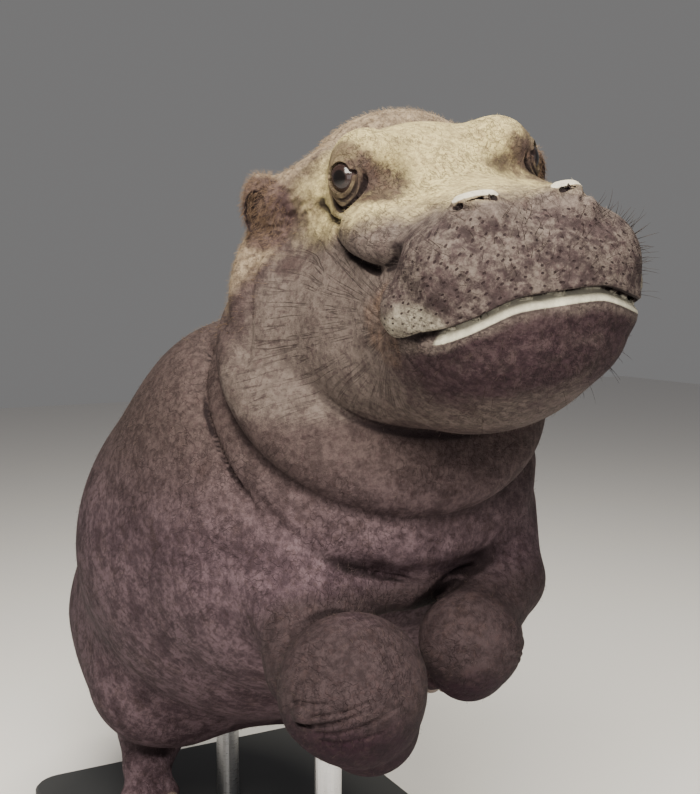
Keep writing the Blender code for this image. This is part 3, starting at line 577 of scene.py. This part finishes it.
def crinkles(points):  # the loose skin between ear and brow, in metres of height
    own = headSides(points)
    away = awayFrom((0.158, 0.030, 0.052), own)
    near = (1 - ramp(away, 0.030, 0.062)) * ramp(own[:, 0], 0.10, 0.12)
    across = own @ np.float32((0.45, 0.55, 0.70))
    along = own @ np.float32((0.55, 0.30, -0.62))
    wave = np.sin(across * 560 + 1.6 * np.sin(along * 170) + 1.1 * np.sin(own[:, 1] * 390))
    beads = np.sin(along * 420 + 1.3 * np.sin(across * 300))
    return 0.0010 * near * wave + 0.0006 * near * beads


def makeSkin():
    points, quads = surface(bodyShape, skin["low"], skin["high"], skin["cell"])
    mesh = bpy.data.meshes.new("skin")
    mesh.from_pydata(points.tolist(), [], quads.tolist())
    print("skin: first surface", len(quads), "faces")
    own = headPoints(pointsOf(mesh))
    atWrists = np.any([awayFrom(limbs[name][2][0], pointsOf(mesh)) < finerWithin["wrist"]
                       for name in ("foreleg_right", "foreleg_left")], 0)
    refine(mesh, (own[:, 1] < 0.10) & (own[:, 2] > -0.22) | atWrists)
    own = headSides(pointsOf(mesh))
    atEye = awayFrom(eye["place"], own) < finerWithin["eye"]
    atMuzzle = (own[:, 1] < -0.15) & (own[:, 2] > -0.10)
    atEar = awayFrom((0.175, 0.045, 0.050), own) < finerWithin["ear"]
    atFolds = awayFrom((-0.185, -0.59, 0.51), pointsOf(mesh)) < finerWithin["wristFolds"]
    refine(mesh, atEye | atMuzzle | atEar | atFolds)
    own = headSides(pointsOf(mesh))
    above = own[:, 2] - lipHeight(own[:, 0])
    atLips = (own[:, 1] < -0.25) & (np.abs(above + 0.004) < 0.016)
    atLids = awayFrom(eye["place"], own) < finerWithin["lids"]
    atNostril = awayFrom((0.052, -0.280, 0.068), own) < finerWithin["nostril"]
    refine(mesh, atLips | atLids | atNostril)
    settle(mesh, bodyShape, 3)
    points, normals = pointsOf(mesh), vectorsOf(mesh.vertex_normals, "vector")
    cavityShade = surfaceFolds(points, normals)
    putPoints(mesh, points + normals * ((radiate(points) + crinkles(points))[:, None] - skin["inset"]))
    mesh.shade_smooth()
    giveMarkings(mesh, points)
    giveValues(mesh, "cavityShade", cavityShade)
    piece = addObject("skin", mesh)
    print("skin: finished", len(mesh.polygons), "faces")
    return piece


def plug(node, inputs):
    for name, value in inputs.items():
        if isinstance(value, Wire):
            value.tree.links.new(value.socket, node.inputs[name])
        else:
            node.inputs[name].default_value = value


class Wire:  # a shader socket that does sums
    def __init__(self, tree, socket):
        self.tree, self.socket = tree, socket

    def node(self, kind, settings=None, inputs=None, output=0):
        made = self.tree.nodes.new(kind)
        for name, value in (settings or {}).items():
            setattr(made, name, value)
        plug(made, inputs or {})
        return Wire(self.tree, made.outputs[output])

    def sums(self, operation, *values):
        return self.node("ShaderNodeMath", {"operation": operation}, dict(enumerate(values)))

    def __add__(self, other):
        return self.sums("ADD", self, other)

    def __sub__(self, other):
        return self.sums("SUBTRACT", self, other)

    def __rsub__(self, other):
        return self.sums("SUBTRACT", other, self)

    def __mul__(self, other):
        return self.sums("MULTIPLY", self, other)

    def __abs__(self):
        return self.sums("ABSOLUTE", self)

    __radd__ = __add__
    __rmul__ = __mul__

    def between(self, low, high):  # 0 below low, 1 above high
        return self.node("ShaderNodeMapRange", {"interpolation_type": "SMOOTHSTEP"},
                         {"Value": self, "From Min": low, "From Max": high})

    def blend(self, one, other):  # colours, with this value as the factor
        one, other = (colour if isinstance(colour, Wire) else (*colour, 1) for colour in (one, other))
        return self.node("ShaderNodeMix", {"data_type": "RGBA"}, {0: self, 6: one, 7: other}, 2)

    def mix(self, one, other):  # numbers, with this value as the factor
        return one + (other - one) * self

    def noise(self, place, scale, detail=4.0, rough=0.55, twist=0.0):
        return self.node("ShaderNodeTexNoise", None, {"Vector": place, "Scale": scale, "Detail": detail,
                                                      "Roughness": rough, "Distortion": twist})

    def stretched(self, place, turned, scale):
        return self.node("ShaderNodeMapping", {"vector_type": "TEXTURE"},
                         {"Vector": place, "Rotation": turned, "Scale": scale})

    def bump(self, height, strength, distance):
        inputs = {"Height": height, "Strength": strength, "Distance": distance}
        return self.node("ShaderNodeBump", None, inputs)

    def place(self):  # in the frame of the whole part
        return self.node("ShaderNodeTexCoord", output=3)

    def attribute(self, name, output="Fac"):
        return self.node("ShaderNodeAttribute", {"attribute_name": name}, output=output)


def newMaterial(name):
    material = bpy.data.materials.new(name)
    material.use_nodes = True
    tree = material.node_tree
    shader = tree.nodes["Principled BSDF"]
    return material, Wire(tree, None), shader


skinColour = {
    "trunk": (0.100, 0.067, 0.078), "trunkDark": (0.058, 0.037, 0.045), "neck": (0.057, 0.040, 0.038),
    # the second colour on this line: the paler top of the head, partly its own tone and partly painted light,
    # yellow as if lit from above
    "headBase": (0.098, 0.077, 0.068), "paleAndLitTop": (0.370, 0.305, 0.152), "pads": (0.086, 0.068, 0.060),
    # the last colour on this line and the first on the next: dark purple below the lips, partly its own
    # colour and partly painted shade under the jaw
    "padsDark": (0.038, 0.026, 0.026), "rim": (0.470, 0.445, 0.350), "chin": (0.031, 0.017, 0.021),
    "chinLight": (0.046, 0.029, 0.031), "nostril": (0.400, 0.370, 0.300), "orbit": (0.052, 0.034, 0.032),
    # the last colour on this line is painted shade, for the folds, the wrinkle lines and the nostril slit
    "ear": (0.054, 0.032, 0.032), "nape": (0.195, 0.150, 0.105), "fold": (0.010, 0.006, 0.007),
    # the last colour on this line is painted shade: the forefeet darkened nearly black, low under the chest
    "flush": (0.118, 0.072, 0.050), "limb": (0.037, 0.025, 0.027), "handShade": (0.016, 0.006, 0.011),
    # the second colour on this line darkens the random stains, and also paints shade into the head's hollows
    # and grooves
    "lobe": (0.222, 0.198, 0.156), "stainAndShade": (0.044, 0.028, 0.027), "speck": (0.040, 0.024, 0.025),
}


def skinColours(start, place):  # the markings, with their painted shade and light, shared by the skin and its hairs
    at = start.attribute
    wide = start.noise(place, 7, 3)
    middle = start.noise(place, 32, 5, 0.62)
    fine = start.noise(place, 150, 5, 0.72)
    patch = (middle * 0.65 + wide * 0.35).between(0.40, 0.60)

    def spread(name, low=0.25, high=0.75, roughness=0.6):
        return (at(name) + (middle - 0.5) * roughness).between(low, high)

    colour = patch.blend(skinColour["trunkDark"], skinColour["trunk"])
    colour = (1 - at("low").between(0.15, 0.55)).blend(colour, skinColour["neck"])
    colour = spread("limb").blend(colour, skinColour["limb"])
    # painted shade: the forefeet darkened nearly black, low under the chest
    colour = spread("handShade", 0.2, 0.9).blend(colour, skinColour["handShade"])
    colour = spread("head").blend(colour, skinColour["headBase"])
    blots = start.noise(place, 24, 5, 0.7)
    stains = blots.between(0.53, 0.66) * (1 - at("paleAndLitTop"))
    colour = (stains * 0.28).blend(colour, skinColour["stainAndShade"])
    # the top of the head paler and yellower: partly its own tone, partly painted light from above
    colour = spread("paleAndLitTop", 0.15, 0.85, 0.7).blend(colour, skinColour["paleAndLitTop"])
    # painted shade in the head's hollows and grooves, broken up by the blots
    colour = ((at("stainAndShade") + (blots - 0.5) * 3.2).between(0.15, 1.10) * 0.90).blend(
        colour, skinColour["stainAndShade"])
    mottle = start.noise(place, 105, 5, 0.72)
    # the chin's dark purple: partly its own colour, partly painted shade under the jaw
    chin = (mottle * 0.5 + blots * 0.5).between(0.46, 0.60).blend(skinColour["chin"], skinColour["chinLight"])
    colour = spread("chin", 0.1, 1.0, 1.6).blend(colour, chin)
    pads = (blots * 0.6 + mottle * 0.4).between(0.43, 0.57).blend(skinColour["padsDark"], skinColour["pads"])
    colour = spread("pads", 0.15, 0.95, 1.0).blend(colour, pads)
    colour = spread("nape", 0.3, 0.8).blend(colour, skinColour["nape"])
    colour = spread("corner", 0.7, 1.3, 0.9).blend(colour, skinColour["flush"])
    colour = spread("lobe", 0.2, 0.9).blend(colour, skinColour["lobe"])
    for name, share in (("ear", 0.8), ("orbit", 0.75)):
        colour = (spread(name) * share).blend(colour, skinColour[name])
    smooth = (1 - at("rim")) * (1 - at("nostril"))
    specks = fine.between(0.52, 0.60) * smooth * (1 - at("paleAndLitTop") * 0.7)
    colour = (specks * 0.50).blend(colour, skinColour["speck"])
    freckles = fine.between(0.50, 0.60) * at("paleAndLitTop") * smooth
    colour = (freckles * 0.30).blend(colour, skinColour["flush"])
    colour = spread("rim", 0.35, 0.65, 0.15).blend(colour, skinColour["rim"])
    colour = spread("nostril", 0.3, 0.7, 0.2).blend(colour, skinColour["nostril"])
    shade = (mottle * 0.7 + middle * 0.3).between(0.40, 0.60).blend((0.66, 0.64, 0.65), (1.26, 1.27, 1.26))
    shade = (at("rim") * 0.5 + at("nostril") * 0.6 + at("paleAndLitTop") * 0.35
             + at("cheek") * 0.3).blend(shade, (1.0, 1.0, 1.0))
    return start.node("ShaderNodeMix", {"data_type": "RGBA", "blend_type": "MULTIPLY"},
                      {0: 1.0, 6: colour, 7: shade}, 2)


skinGrain = {  # painted shade in the wrinkles, the folds and the nostril slit darkens the colour by these shares, and so do the pits
    "wrinkles": 0.56, "foldShade": 0.90, "slit": 0.90, "pits": 0.90, "pitColour": (0.014, 0.008, 0.009),
    "roughness": (0.70, 0.14), "gloss": 0.12, "bump": 0.95, "relief": 0.0021,
}


def skinMaterial():
    material, start, shader = newMaterial("calfSkin")
    at, place = start.attribute, start.place()
    headAngles = tuple(Matrix(headTurn.tolist()).to_euler())
    trunkAngles = (math.radians(trunk["pitch"]), 0, 0)
    alongHead = start.stretched(place, headAngles, (1, 4, 1))
    alongTrunk = start.stretched(place, trunkAngles, (1, 6, 1.4))
    onHead = at("head")
    pads, cavityShade, ear = at("pads"), at("cavityShade"), at("ear")
    smooth = (1 - at("rim") * 0.9) * (1 - at("nostril") * 0.9)

    def creases(noise, thin):
        return 1 - abs(noise - 0.5).between(0.0, thin)

    cheek = at("cheek")
    fan = start.noise(at("fanMap", "Vector"), 170, 2, 0.5, 0.0)
    headLines = start.noise(alongHead, 150, 3, 0.55, 0.3)
    trunkLines = start.noise(alongTrunk, 130, 2, 0.5, 0.0)
    patchy = start.noise(place, 18, 4, 0.6).between(0.36, 0.60)
    lines = creases(headLines, 0.045) * onHead + creases(trunkLines, 0.055) * (1 - onHead) * 0.8
    fanLines = creases(fan, 0.050) * 0.8 * start.noise(place, 30, 3).between(0.34, 0.56)
    wrinkles = cheek.mix(lines * (0.22 + patchy * 0.60), fanLines) * smooth * (1 - pads * 0.85)
    grain = start.noise(place, 520, 4, 0.7)
    lumps = start.noise(place, 150, 5, 0.7)
    curls = start.node("ShaderNodeTexVoronoi", {"feature": "SMOOTH_F1"}, {"Vector": place, "Scale": 165})

    dots = start.node("ShaderNodeTexVoronoi", {"feature": "F1", "voronoi_dimensions": "2D"},
                      {"Vector": at("padMap", "Vector"), "Scale": 112, "Randomness": 0.6})
    pits = (1 - dots.between(0.09, 0.16)) * (pads + at("lobe") * 0.6).between(0.35, 0.7)

    colour = skinColours(start, place)
    # painted shade: the folds, the wrinkle lines and the nostril slit darken towards the fold colour
    foldShade = cavityShade.between(0.34, 0.90) * (1 - at("rim") * 0.95)
    for amount, share in ((wrinkles, "wrinkles"), (foldShade, "foldShade"), (at("slit"), "slit")):
        colour = (amount * skinGrain[share]).blend(colour, skinColour["fold"])
    colour = (pits * skinGrain["pits"]).blend(colour, skinGrain["pitColour"])
    height = lumps * smooth - wrinkles * 0.5 + grain * 0.5 * smooth - pits * 0.4 - curls * ear * 1.8
    smoothest, varying = skinGrain["roughness"]
    plug(shader, {"Base Color": colour, "Roughness": smoothest + grain * varying,
                  "Specular IOR Level": skinGrain["gloss"],
                  "Normal": start.bump(height, skinGrain["bump"], skinGrain["relief"])})
    return material


def hairMaterial(name, tint, share):
    material, start, shader = newMaterial(name)
    colour = skinColours(start, start.attribute("root", "Vector"))
    tinted = start.node("ShaderNodeMix", {"data_type": "RGBA"}, {0: share, 6: colour, 7: (*tint, 1)}, 2)
    plug(shader, {"Base Color": tinted, "Roughness": 0.55 + start.attribute("tip") * 0.1,
                  "Specular IOR Level": skinGrain["gloss"]})
    return material


eyeLook = {"pupil": 0.0085, "iris": 0.0138, "dark": (0.004, 0.003, 0.003), "brown": (0.030, 0.016, 0.014),
           "ring": (0.060, 0.042, 0.040), "white": (0.070, 0.046, 0.042)}


def eyeMaterial():
    material, start, shader = newMaterial("calfEye")
    fromGaze = start.attribute("fromGaze")
    place = start.place()
    streak = start.noise(place, 900, 3)
    colour = fromGaze.between(eyeLook["iris"] * 0.97, eyeLook["iris"] * 1.12).blend(
        (streak * 0.7 + 0.2).blend(eyeLook["dark"], eyeLook["brown"]), eyeLook["white"])
    ring = 1 - abs(fromGaze - eyeLook["iris"]).between(0.0002, 0.0012)
    colour = (ring * 0.55).blend(colour, eyeLook["ring"])
    pupil = 1 - fromGaze.between(eyeLook["pupil"] * 0.9, eyeLook["pupil"] * 1.08)
    colour = pupil.blend(colour, eyeLook["dark"])
    plug(shader, {"Base Color": colour, "Roughness": streak * 0.02 + 0.16, "Specular IOR Level": 0.35,
                  "Coat Weight": streak * 0.02 + 0.25, "Coat Roughness": 0.02})
    return material


def ballMesh(name, around, high, radius, turned=Matrix()):
    mesh = bpy.data.meshes.new(name)
    shaped = bmesh.new()
    bmesh.ops.create_uvsphere(shaped, u_segments=around, v_segments=high, radius=radius, matrix=turned)
    shaped.to_mesh(mesh)
    shaped.free()
    return mesh


def makeEyes():
    material = eyeMaterial()
    upright = Matrix.Rotation(math.radians(-90), 4, "X")
    for side, name in ((-1, "right"), (1, "left")):
        facing = np.array(eyeFrame)
        facing[0] *= side                                     # gaze to this side
        facing[:, 0] *= side
        mesh = ballMesh(f"eyeball_{name}", 64, 40, eye["radius"] - eye["gap"], upright)
        points = pointsOf(mesh)
        fromGaze = np.sqrt(points[:, 0] ** 2 + points[:, 2] ** 2) + np.where(points[:, 1] < 0, 1, 0)
        giveValues(mesh, "fromGaze", fromGaze)
        middle = headTurn @ (np.array(eye["place"]) * (side, 1, 1)) + head["place"]
        putPoints(mesh, points @ (headTurn @ facing).T + middle)
        mesh.shade_smooth()
        mesh.materials.append(material)
        piece = addObject(f"eyeball_{name}", mesh)
        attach(piece, "root")
        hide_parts(f"eye_{name}")
    print("eyes made")


patchSize = 0.003                                             # of each hair on the baked map


# Tapering hairs, joined into one mesh
def makeTufts(name, roots, normals, lie, sizes, widths, lift, material, bend=0.35, sides=3, rings=3):
    count = len(roots)
    lie = lie - normals * (lie * normals).sum(1, keepdims=True)
    lie = lie / np.maximum(length(lie)[:, None], 1e-6)
    across = np.cross(normals, lie)
    spine, parts = [], []
    for ring in range(rings + 1):
        part = ring / rings
        rise = lift * part * (1 - bend * part)
        spine.append(roots + sizes[:, None] * (normals * (rise[:, None] - 0.06 * (ring == 0)) + lie * part))
        parts.append(part)
    points = []
    for ring in range(rings):
        radius = widths * (1 - parts[ring]) ** 0.7
        for corner in range(sides):
            turned = 2 * math.pi * corner / sides
            outward = across * math.cos(turned) + normals * math.sin(turned)
            points.append(spine[ring] + radius[:, None] * outward)
    points.append(spine[rings])
    points = np.stack(points, 1)
    faces = []
    for ring in range(rings - 1):
        for corner in range(sides):
            a, b = ring * sides + corner, ring * sides + (corner + 1) % sides
            faces += [(a, b, b + sides), (a, b + sides, a + sides)]
    last = (rings - 1) * sides
    faces += [(last + corner, last + (corner + 1) % sides, rings * sides) for corner in range(sides)]
    perHair = rings * sides + 1
    faces = (np.array(faces)[None] + (np.arange(count) * perHair)[:, None, None]).reshape(-1, 3)
    mesh = bpy.data.meshes.new(name)
    mesh.vertices.add(count * perHair)
    mesh.loops.add(len(faces) * 3)
    mesh.polygons.add(len(faces))
    mesh.vertices.foreach_set("co", points.astype(np.float32).ravel())
    mesh.loops.foreach_set("vertex_index", faces.astype(np.int32).ravel())
    mesh.polygons.foreach_set("loop_start", np.arange(0, len(faces) * 3, 3, dtype=np.int32))
    mesh.update(calc_edges=True)
    mesh.validate()
    perPoint = np.repeat(roots, perHair, 0).astype(np.float32)
    giveMarkings(mesh, perPoint)
    giveValues(mesh, "root", perPoint)
    giveValues(mesh, "tip", np.tile(np.append(np.repeat(parts[:rings], sides), 1.0), count))
    angles = np.arange(perHair)
    patch = np.tile(np.stack([np.cos(angles), np.sin(angles)], 1) * patchSize / 2, (count, 1))
    spots = np.repeat(unwrapped(roots), perHair, 0) + patch
    uv = mesh.uv_layers.new(name="OFBake")
    uv.uv.foreach_set("vector", spots[faces.ravel()].astype(np.float32).ravel())
    mesh.shade_smooth()
    mesh.materials.append(material)
    piece = addObject(name, mesh)
    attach(piece, "root")
    return piece


def unwrapped(points):  # the skin unrolled round its nearest axis, one square of the map for each
    axes = [(trunk["chest"], trunk["rump"]), ((0.02, -0.36, 0.80), (0.024, -0.38, 1.05)),
            (head["place"], tuple(headTurn @ np.array((0, -0.36, -0.04)) + head["place"]))]
    axes += [(joints[1][0], joints[2][0]) for joints in limbs.values()] + [(tail["line"][0], tail["line"][2])]
    best, spots = np.full(len(points), 9.0), np.zeros((len(points), 2))
    for number, (start, end) in enumerate(axes):
        start, run = np.array(start), np.array(end) - start
        size = np.linalg.norm(run)
        along = (points - start) @ run / size
        nearest = start + np.clip(along / size, 0, 1)[:, None] * run
        away = length(points - nearest) / (0.25 if number < 3 else 0.09)
        side = np.cross(run, (0.31, 0.12, 0.94))
        side = side / np.linalg.norm(side)
        angle = np.arctan2((points - nearest) @ side, (points - nearest) @ np.cross(side, run / size))
        square = np.stack([angle / (2 * math.pi) + 0.5, np.clip(along / size * 0.6 + 0.2, 0, 1)], 1)
        closer = away < best
        best[closer] = away[closer]
        spots[closer] = (np.array((number % 3, number // 3)) + 0.03 + square[closer] * 0.94) / 3
    return spots


def skinRoots(mesh, count, density, seed):  # places on the skin, chosen by area and by density
    faces = mesh.polygons
    centres, normals = vectorsOf(faces, "center", float), vectorsOf(faces, "normal", float)
    areas = np.empty(len(faces))
    faces.foreach_get("area", areas)
    weights = areas * density(centres.astype(np.float32))
    picker = np.random.default_rng(seed)
    chosen = picker.choice(len(faces), count, p=weights / weights.sum())
    spread = picker.normal(0, 0.4, (count, 3)) * np.sqrt(areas[chosen])[:, None]
    normal = normals[chosen]
    spread = spread - normal * (spread * normal).sum(1, keepdims=True)
    return centres[chosen] + spread, normal, picker


def lieOf(points):  # hair runs back along the head and down the body
    own = headSides(points.astype(np.float32))
    onHead = ramp(-own[:, 1], -0.10, 0.02)[:, None]
    back = headTurn @ np.array((0, 1, -0.35))
    return onHead * back + (1 - onHead) * np.array((0, 0.72, -0.62))


hair = {
    "fuzz": {"count": 12000, "long": (0.004, 0.009), "wide": 0.00016, "lift": 0.55,
             "tint": (0.20, 0.15, 0.11), "tinted": 0.25, "seed": 11},
    "napeFuzz": {"count": 9000, "long": (0.004, 0.009), "wide": 0.00022, "lift": 0.8,
                 "tint": (0.24, 0.16, 0.09), "tinted": 0.4, "seed": 12},
    "whiskers": {"count": 260, "long": (0.005, 0.013), "wide": 0.00032, "lift": 2.2,
                 "tint": (0.020, 0.013, 0.011), "tinted": 0.95, "seed": 13},
    "earFringe": {"count": 1500, "long": (0.004, 0.009), "wide": 0.00022, "lift": 1.2,
                  "tint": (0.20, 0.13, 0.08), "tinted": 0.6, "seed": 14},
    "tailBristles": {"count": 260, "long": (0.020, 0.045), "wide": 0.00040, "lift": 0.4,
                     "tint": (0.030, 0.020, 0.016), "tinted": 0.95, "seed": 15},
}


def makeHair(mesh):
    def onNape(points):
        return markings(points)["nape"]

    def whiskerPlaces(points):
        own = headSides(points)
        sides = markings(points)["pads"] * ramp(length(own[:, :2] - np.float32((0.05, -0.2))), 0.06, 0.12)
        chin = markings(points)["chin"] * ramp(-own[:, 1], 0.20, 0.28) * 0.35
        return sides + chin

    def tailEnd(points):
        return 1 - ramp(awayFrom(tail["line"][2], points), 0.012, 0.045)

    def earEdge(points):
        own = headSides(points)
        away = awayFrom((0.188, 0.056, 0.052), own)
        return (1 - ramp(away, 0.03, 0.05)) * ramp(own[:, 0], 0.165, 0.18)

    def overall(points):
        found = markings(points)
        return 1.0 - 0.85 * found["rim"] - 0.5 * found["pads"]

    densities = {"fuzz": overall, "napeFuzz": onNape, "whiskers": whiskerPlaces, "earFringe": earEdge,
                 "tailBristles": tailEnd}
    for name, values in hair.items():
        roots, normals, picker = skinRoots(mesh, values["count"], densities[name], values["seed"])
        lie = lieOf(roots) + picker.normal(0, 0.28, roots.shape)
        if name == "tailBristles":
            lie = np.array(tail["line"][2]) - tail["line"][1] + picker.normal(0, 0.01, roots.shape)
        sizes = picker.uniform(*values["long"], len(roots))
        widths = values["wide"] * picker.uniform(0.8, 1.3, len(roots))
        lift = values["lift"] * picker.uniform(0.6, 1.4, len(roots))
        material = hairMaterial(name, values["tint"], values["tinted"])
        piece = makeTufts(name, roots, normals, lie, sizes, widths, lift, material)
        print("hair:", name, values["count"])


nail = {"size": (0.0105, 0.0120, 0.0075), "forward": 0.55, "outward": 0.62, "blunt": 0.35,
        "dark": (0.055, 0.040, 0.034), "light": (0.16, 0.12, 0.10)}


def nailMaterial():
    material, start, shader = newMaterial("nailHorn")
    place = start.place()
    streak = start.noise(start.stretched(place, (0.5, 0, 0), (1, 5, 1)), 700, 3)
    plug(shader, {"Base Color": streak.between(0.3, 0.7).blend(nail["dark"], nail["light"]),
                  "Roughness": streak * 0.2 + 0.32, "Normal": start.bump(streak, 0.4, 0.0005)})
    return material


def makeNails():
    material = nailMaterial()
    for name in limbs:
        aim, across = toeAims(name)
        facing = frameAlong(aim, across)
        outward = facing[:, 2] if facing[1, 2] < 0 else -facing[:, 2]
        foot = name.replace("leg", "foot")
        for number, tip in enumerate(toeTips(name), start=1):
            mesh = ballMesh(f"hoof_{foot}_{number}", 28, 18, 1)
            points = pointsOf(mesh)
            points[:, 1] -= nail["blunt"] * points[:, 1] * (points[:, 1] < 0)    # short at the root
            middle = tip + aim * toes["radius"] * nail["forward"] + outward * toes["radius"] * nail["outward"]
            putPoints(mesh, (points * np.float32(nail["size"])) @ facing.T + middle)
            mesh.shade_smooth()
            mesh.materials.append(material)
            piece = addObject(f"hoof_{foot}_{number}", mesh)
            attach(piece, "root")
            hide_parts(f"nail_{foot}_{number}")
    print("nails made")


stand = {"base": ((0.030, 0.031, 0.033), (0.055, 0.056, 0.058)),
         "steel": ((0.50, 0.50, 0.51), (0.68, 0.68, 0.69))}


def standMaterials():
    material, start, shader = newMaterial("powderCoatedBase")
    place = start.place()
    grain = start.noise(place, 900, 2)
    plug(shader, {"Base Color": grain.between(0.3, 0.7).blend(*stand["base"]),
                  "Roughness": grain * 0.15 + 0.45, "Normal": start.bump(grain, 0.3, 0.0004)})
    bpy.data.objects["stand_base"].data.materials[0] = material
    material, start, shader = newMaterial("brushedSteelRod")
    place = start.place()
    brushed = start.noise(start.stretched(place, (0, 0, 0), (6, 6, 0.4)), 500, 3)
    plug(shader, {"Base Color": brushed.blend(*stand["steel"]), "Metallic": 1.0,
                  "Roughness": brushed * 0.15 + 0.22})
    for name in ("stand_rod_front", "stand_rod_rear"):
        bpy.data.objects[name].data.materials[0] = material
    print("stand painted")


def addObject(name, data):
    made = bpy.data.objects.new(name, data)
    bpy.context.scene.collection.objects.link(made)
    return made


fleshNodes = ["head", "neck", "trunk", "tail", "ear_right", "ear_left"]
for limb in ("foreleg", "forefoot", "hindleg", "hindfoot"):
    fleshNodes += [f"{limb}_right", f"{limb}_left"]

skinPiece = makeSkin()
skinPiece.data.materials.append(skinMaterial())
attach(skinPiece, "root")
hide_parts(*fleshNodes)
makeEyes()
makeNails()
makeHair(skinPiece.data)
standMaterials()


view = {"place": (-0.7014, -1.573, 0.96), "azimuth": -28, "elevation": 6, "lens": 50, "sensor": 36}
lights = {
    "key": {"place": (-0.85, -1.55, 2.25), "size": 1.3, "watts": 152, "colour": (1.0, 0.95, 0.84)},
    "top": {"place": (0.6, 0.2, 3.0), "size": 1.2, "watts": 62, "colour": (1.0, 0.95, 0.80)},
    "front": {"place": (-1.1, -2.3, 0.9), "size": 1.0, "watts": 9, "colour": (1.0, 0.94, 0.94)},
    "fill": {"place": (1.9, -1.9, 1.0), "size": 1.4, "watts": 3.5, "colour": (0.92, 0.96, 1.0)},
}
room = {"floorSize": 14, "floor": (0.80, 0.78, 0.77), "air": (0.88, 0.87, 0.87), "strength": 0.21,
        "litPlace": (0, -0.2, 0.7)}


def makeStudio():
    bpy.ops.mesh.primitive_plane_add(size=room["floorSize"])
    floor = bpy.context.object
    floor.name = "floor"
    material, _, shader = newMaterial("paleFloor")
    plug(shader, {"Base Color": (*room["floor"], 1), "Roughness": 0.8})
    floor.data.materials.append(material)
    world = bpy.data.worlds.new("room")
    world.use_nodes = True
    plug(world.node_tree.nodes["Background"], {"Color": (*room["air"], 1), "Strength": room["strength"]})
    bpy.context.scene.world = world
    for name, values in lights.items():
        lamp = bpy.data.lights.new(name, "AREA")
        lamp.energy, lamp.size, lamp.color = values["watts"], values["size"], values["colour"]
        piece = addObject(name, lamp)
        piece.location = values["place"]
        towards = Vector(values["place"]) - Vector(room["litPlace"])
        piece.rotation_euler = towards.to_track_quat("Z", "Y").to_euler()
    print("studio made:", len(lights), "lamps")


def makeCamera():
    camera = bpy.data.cameras.new("camera")
    camera.lens, camera.sensor_width = view["lens"], view["sensor"]
    piece = addObject("camera", camera)
    piece.location = view["place"]
    azimuth, elevation = math.radians(view["azimuth"]), math.radians(view["elevation"])
    back = Vector((math.sin(azimuth) * math.cos(elevation), -math.cos(azimuth) * math.cos(elevation),
                   math.sin(elevation)))
    piece.rotation_euler = back.to_track_quat("Z", "Y").to_euler()
    bpy.context.scene.camera = piece


makeStudio()
makeCamera()
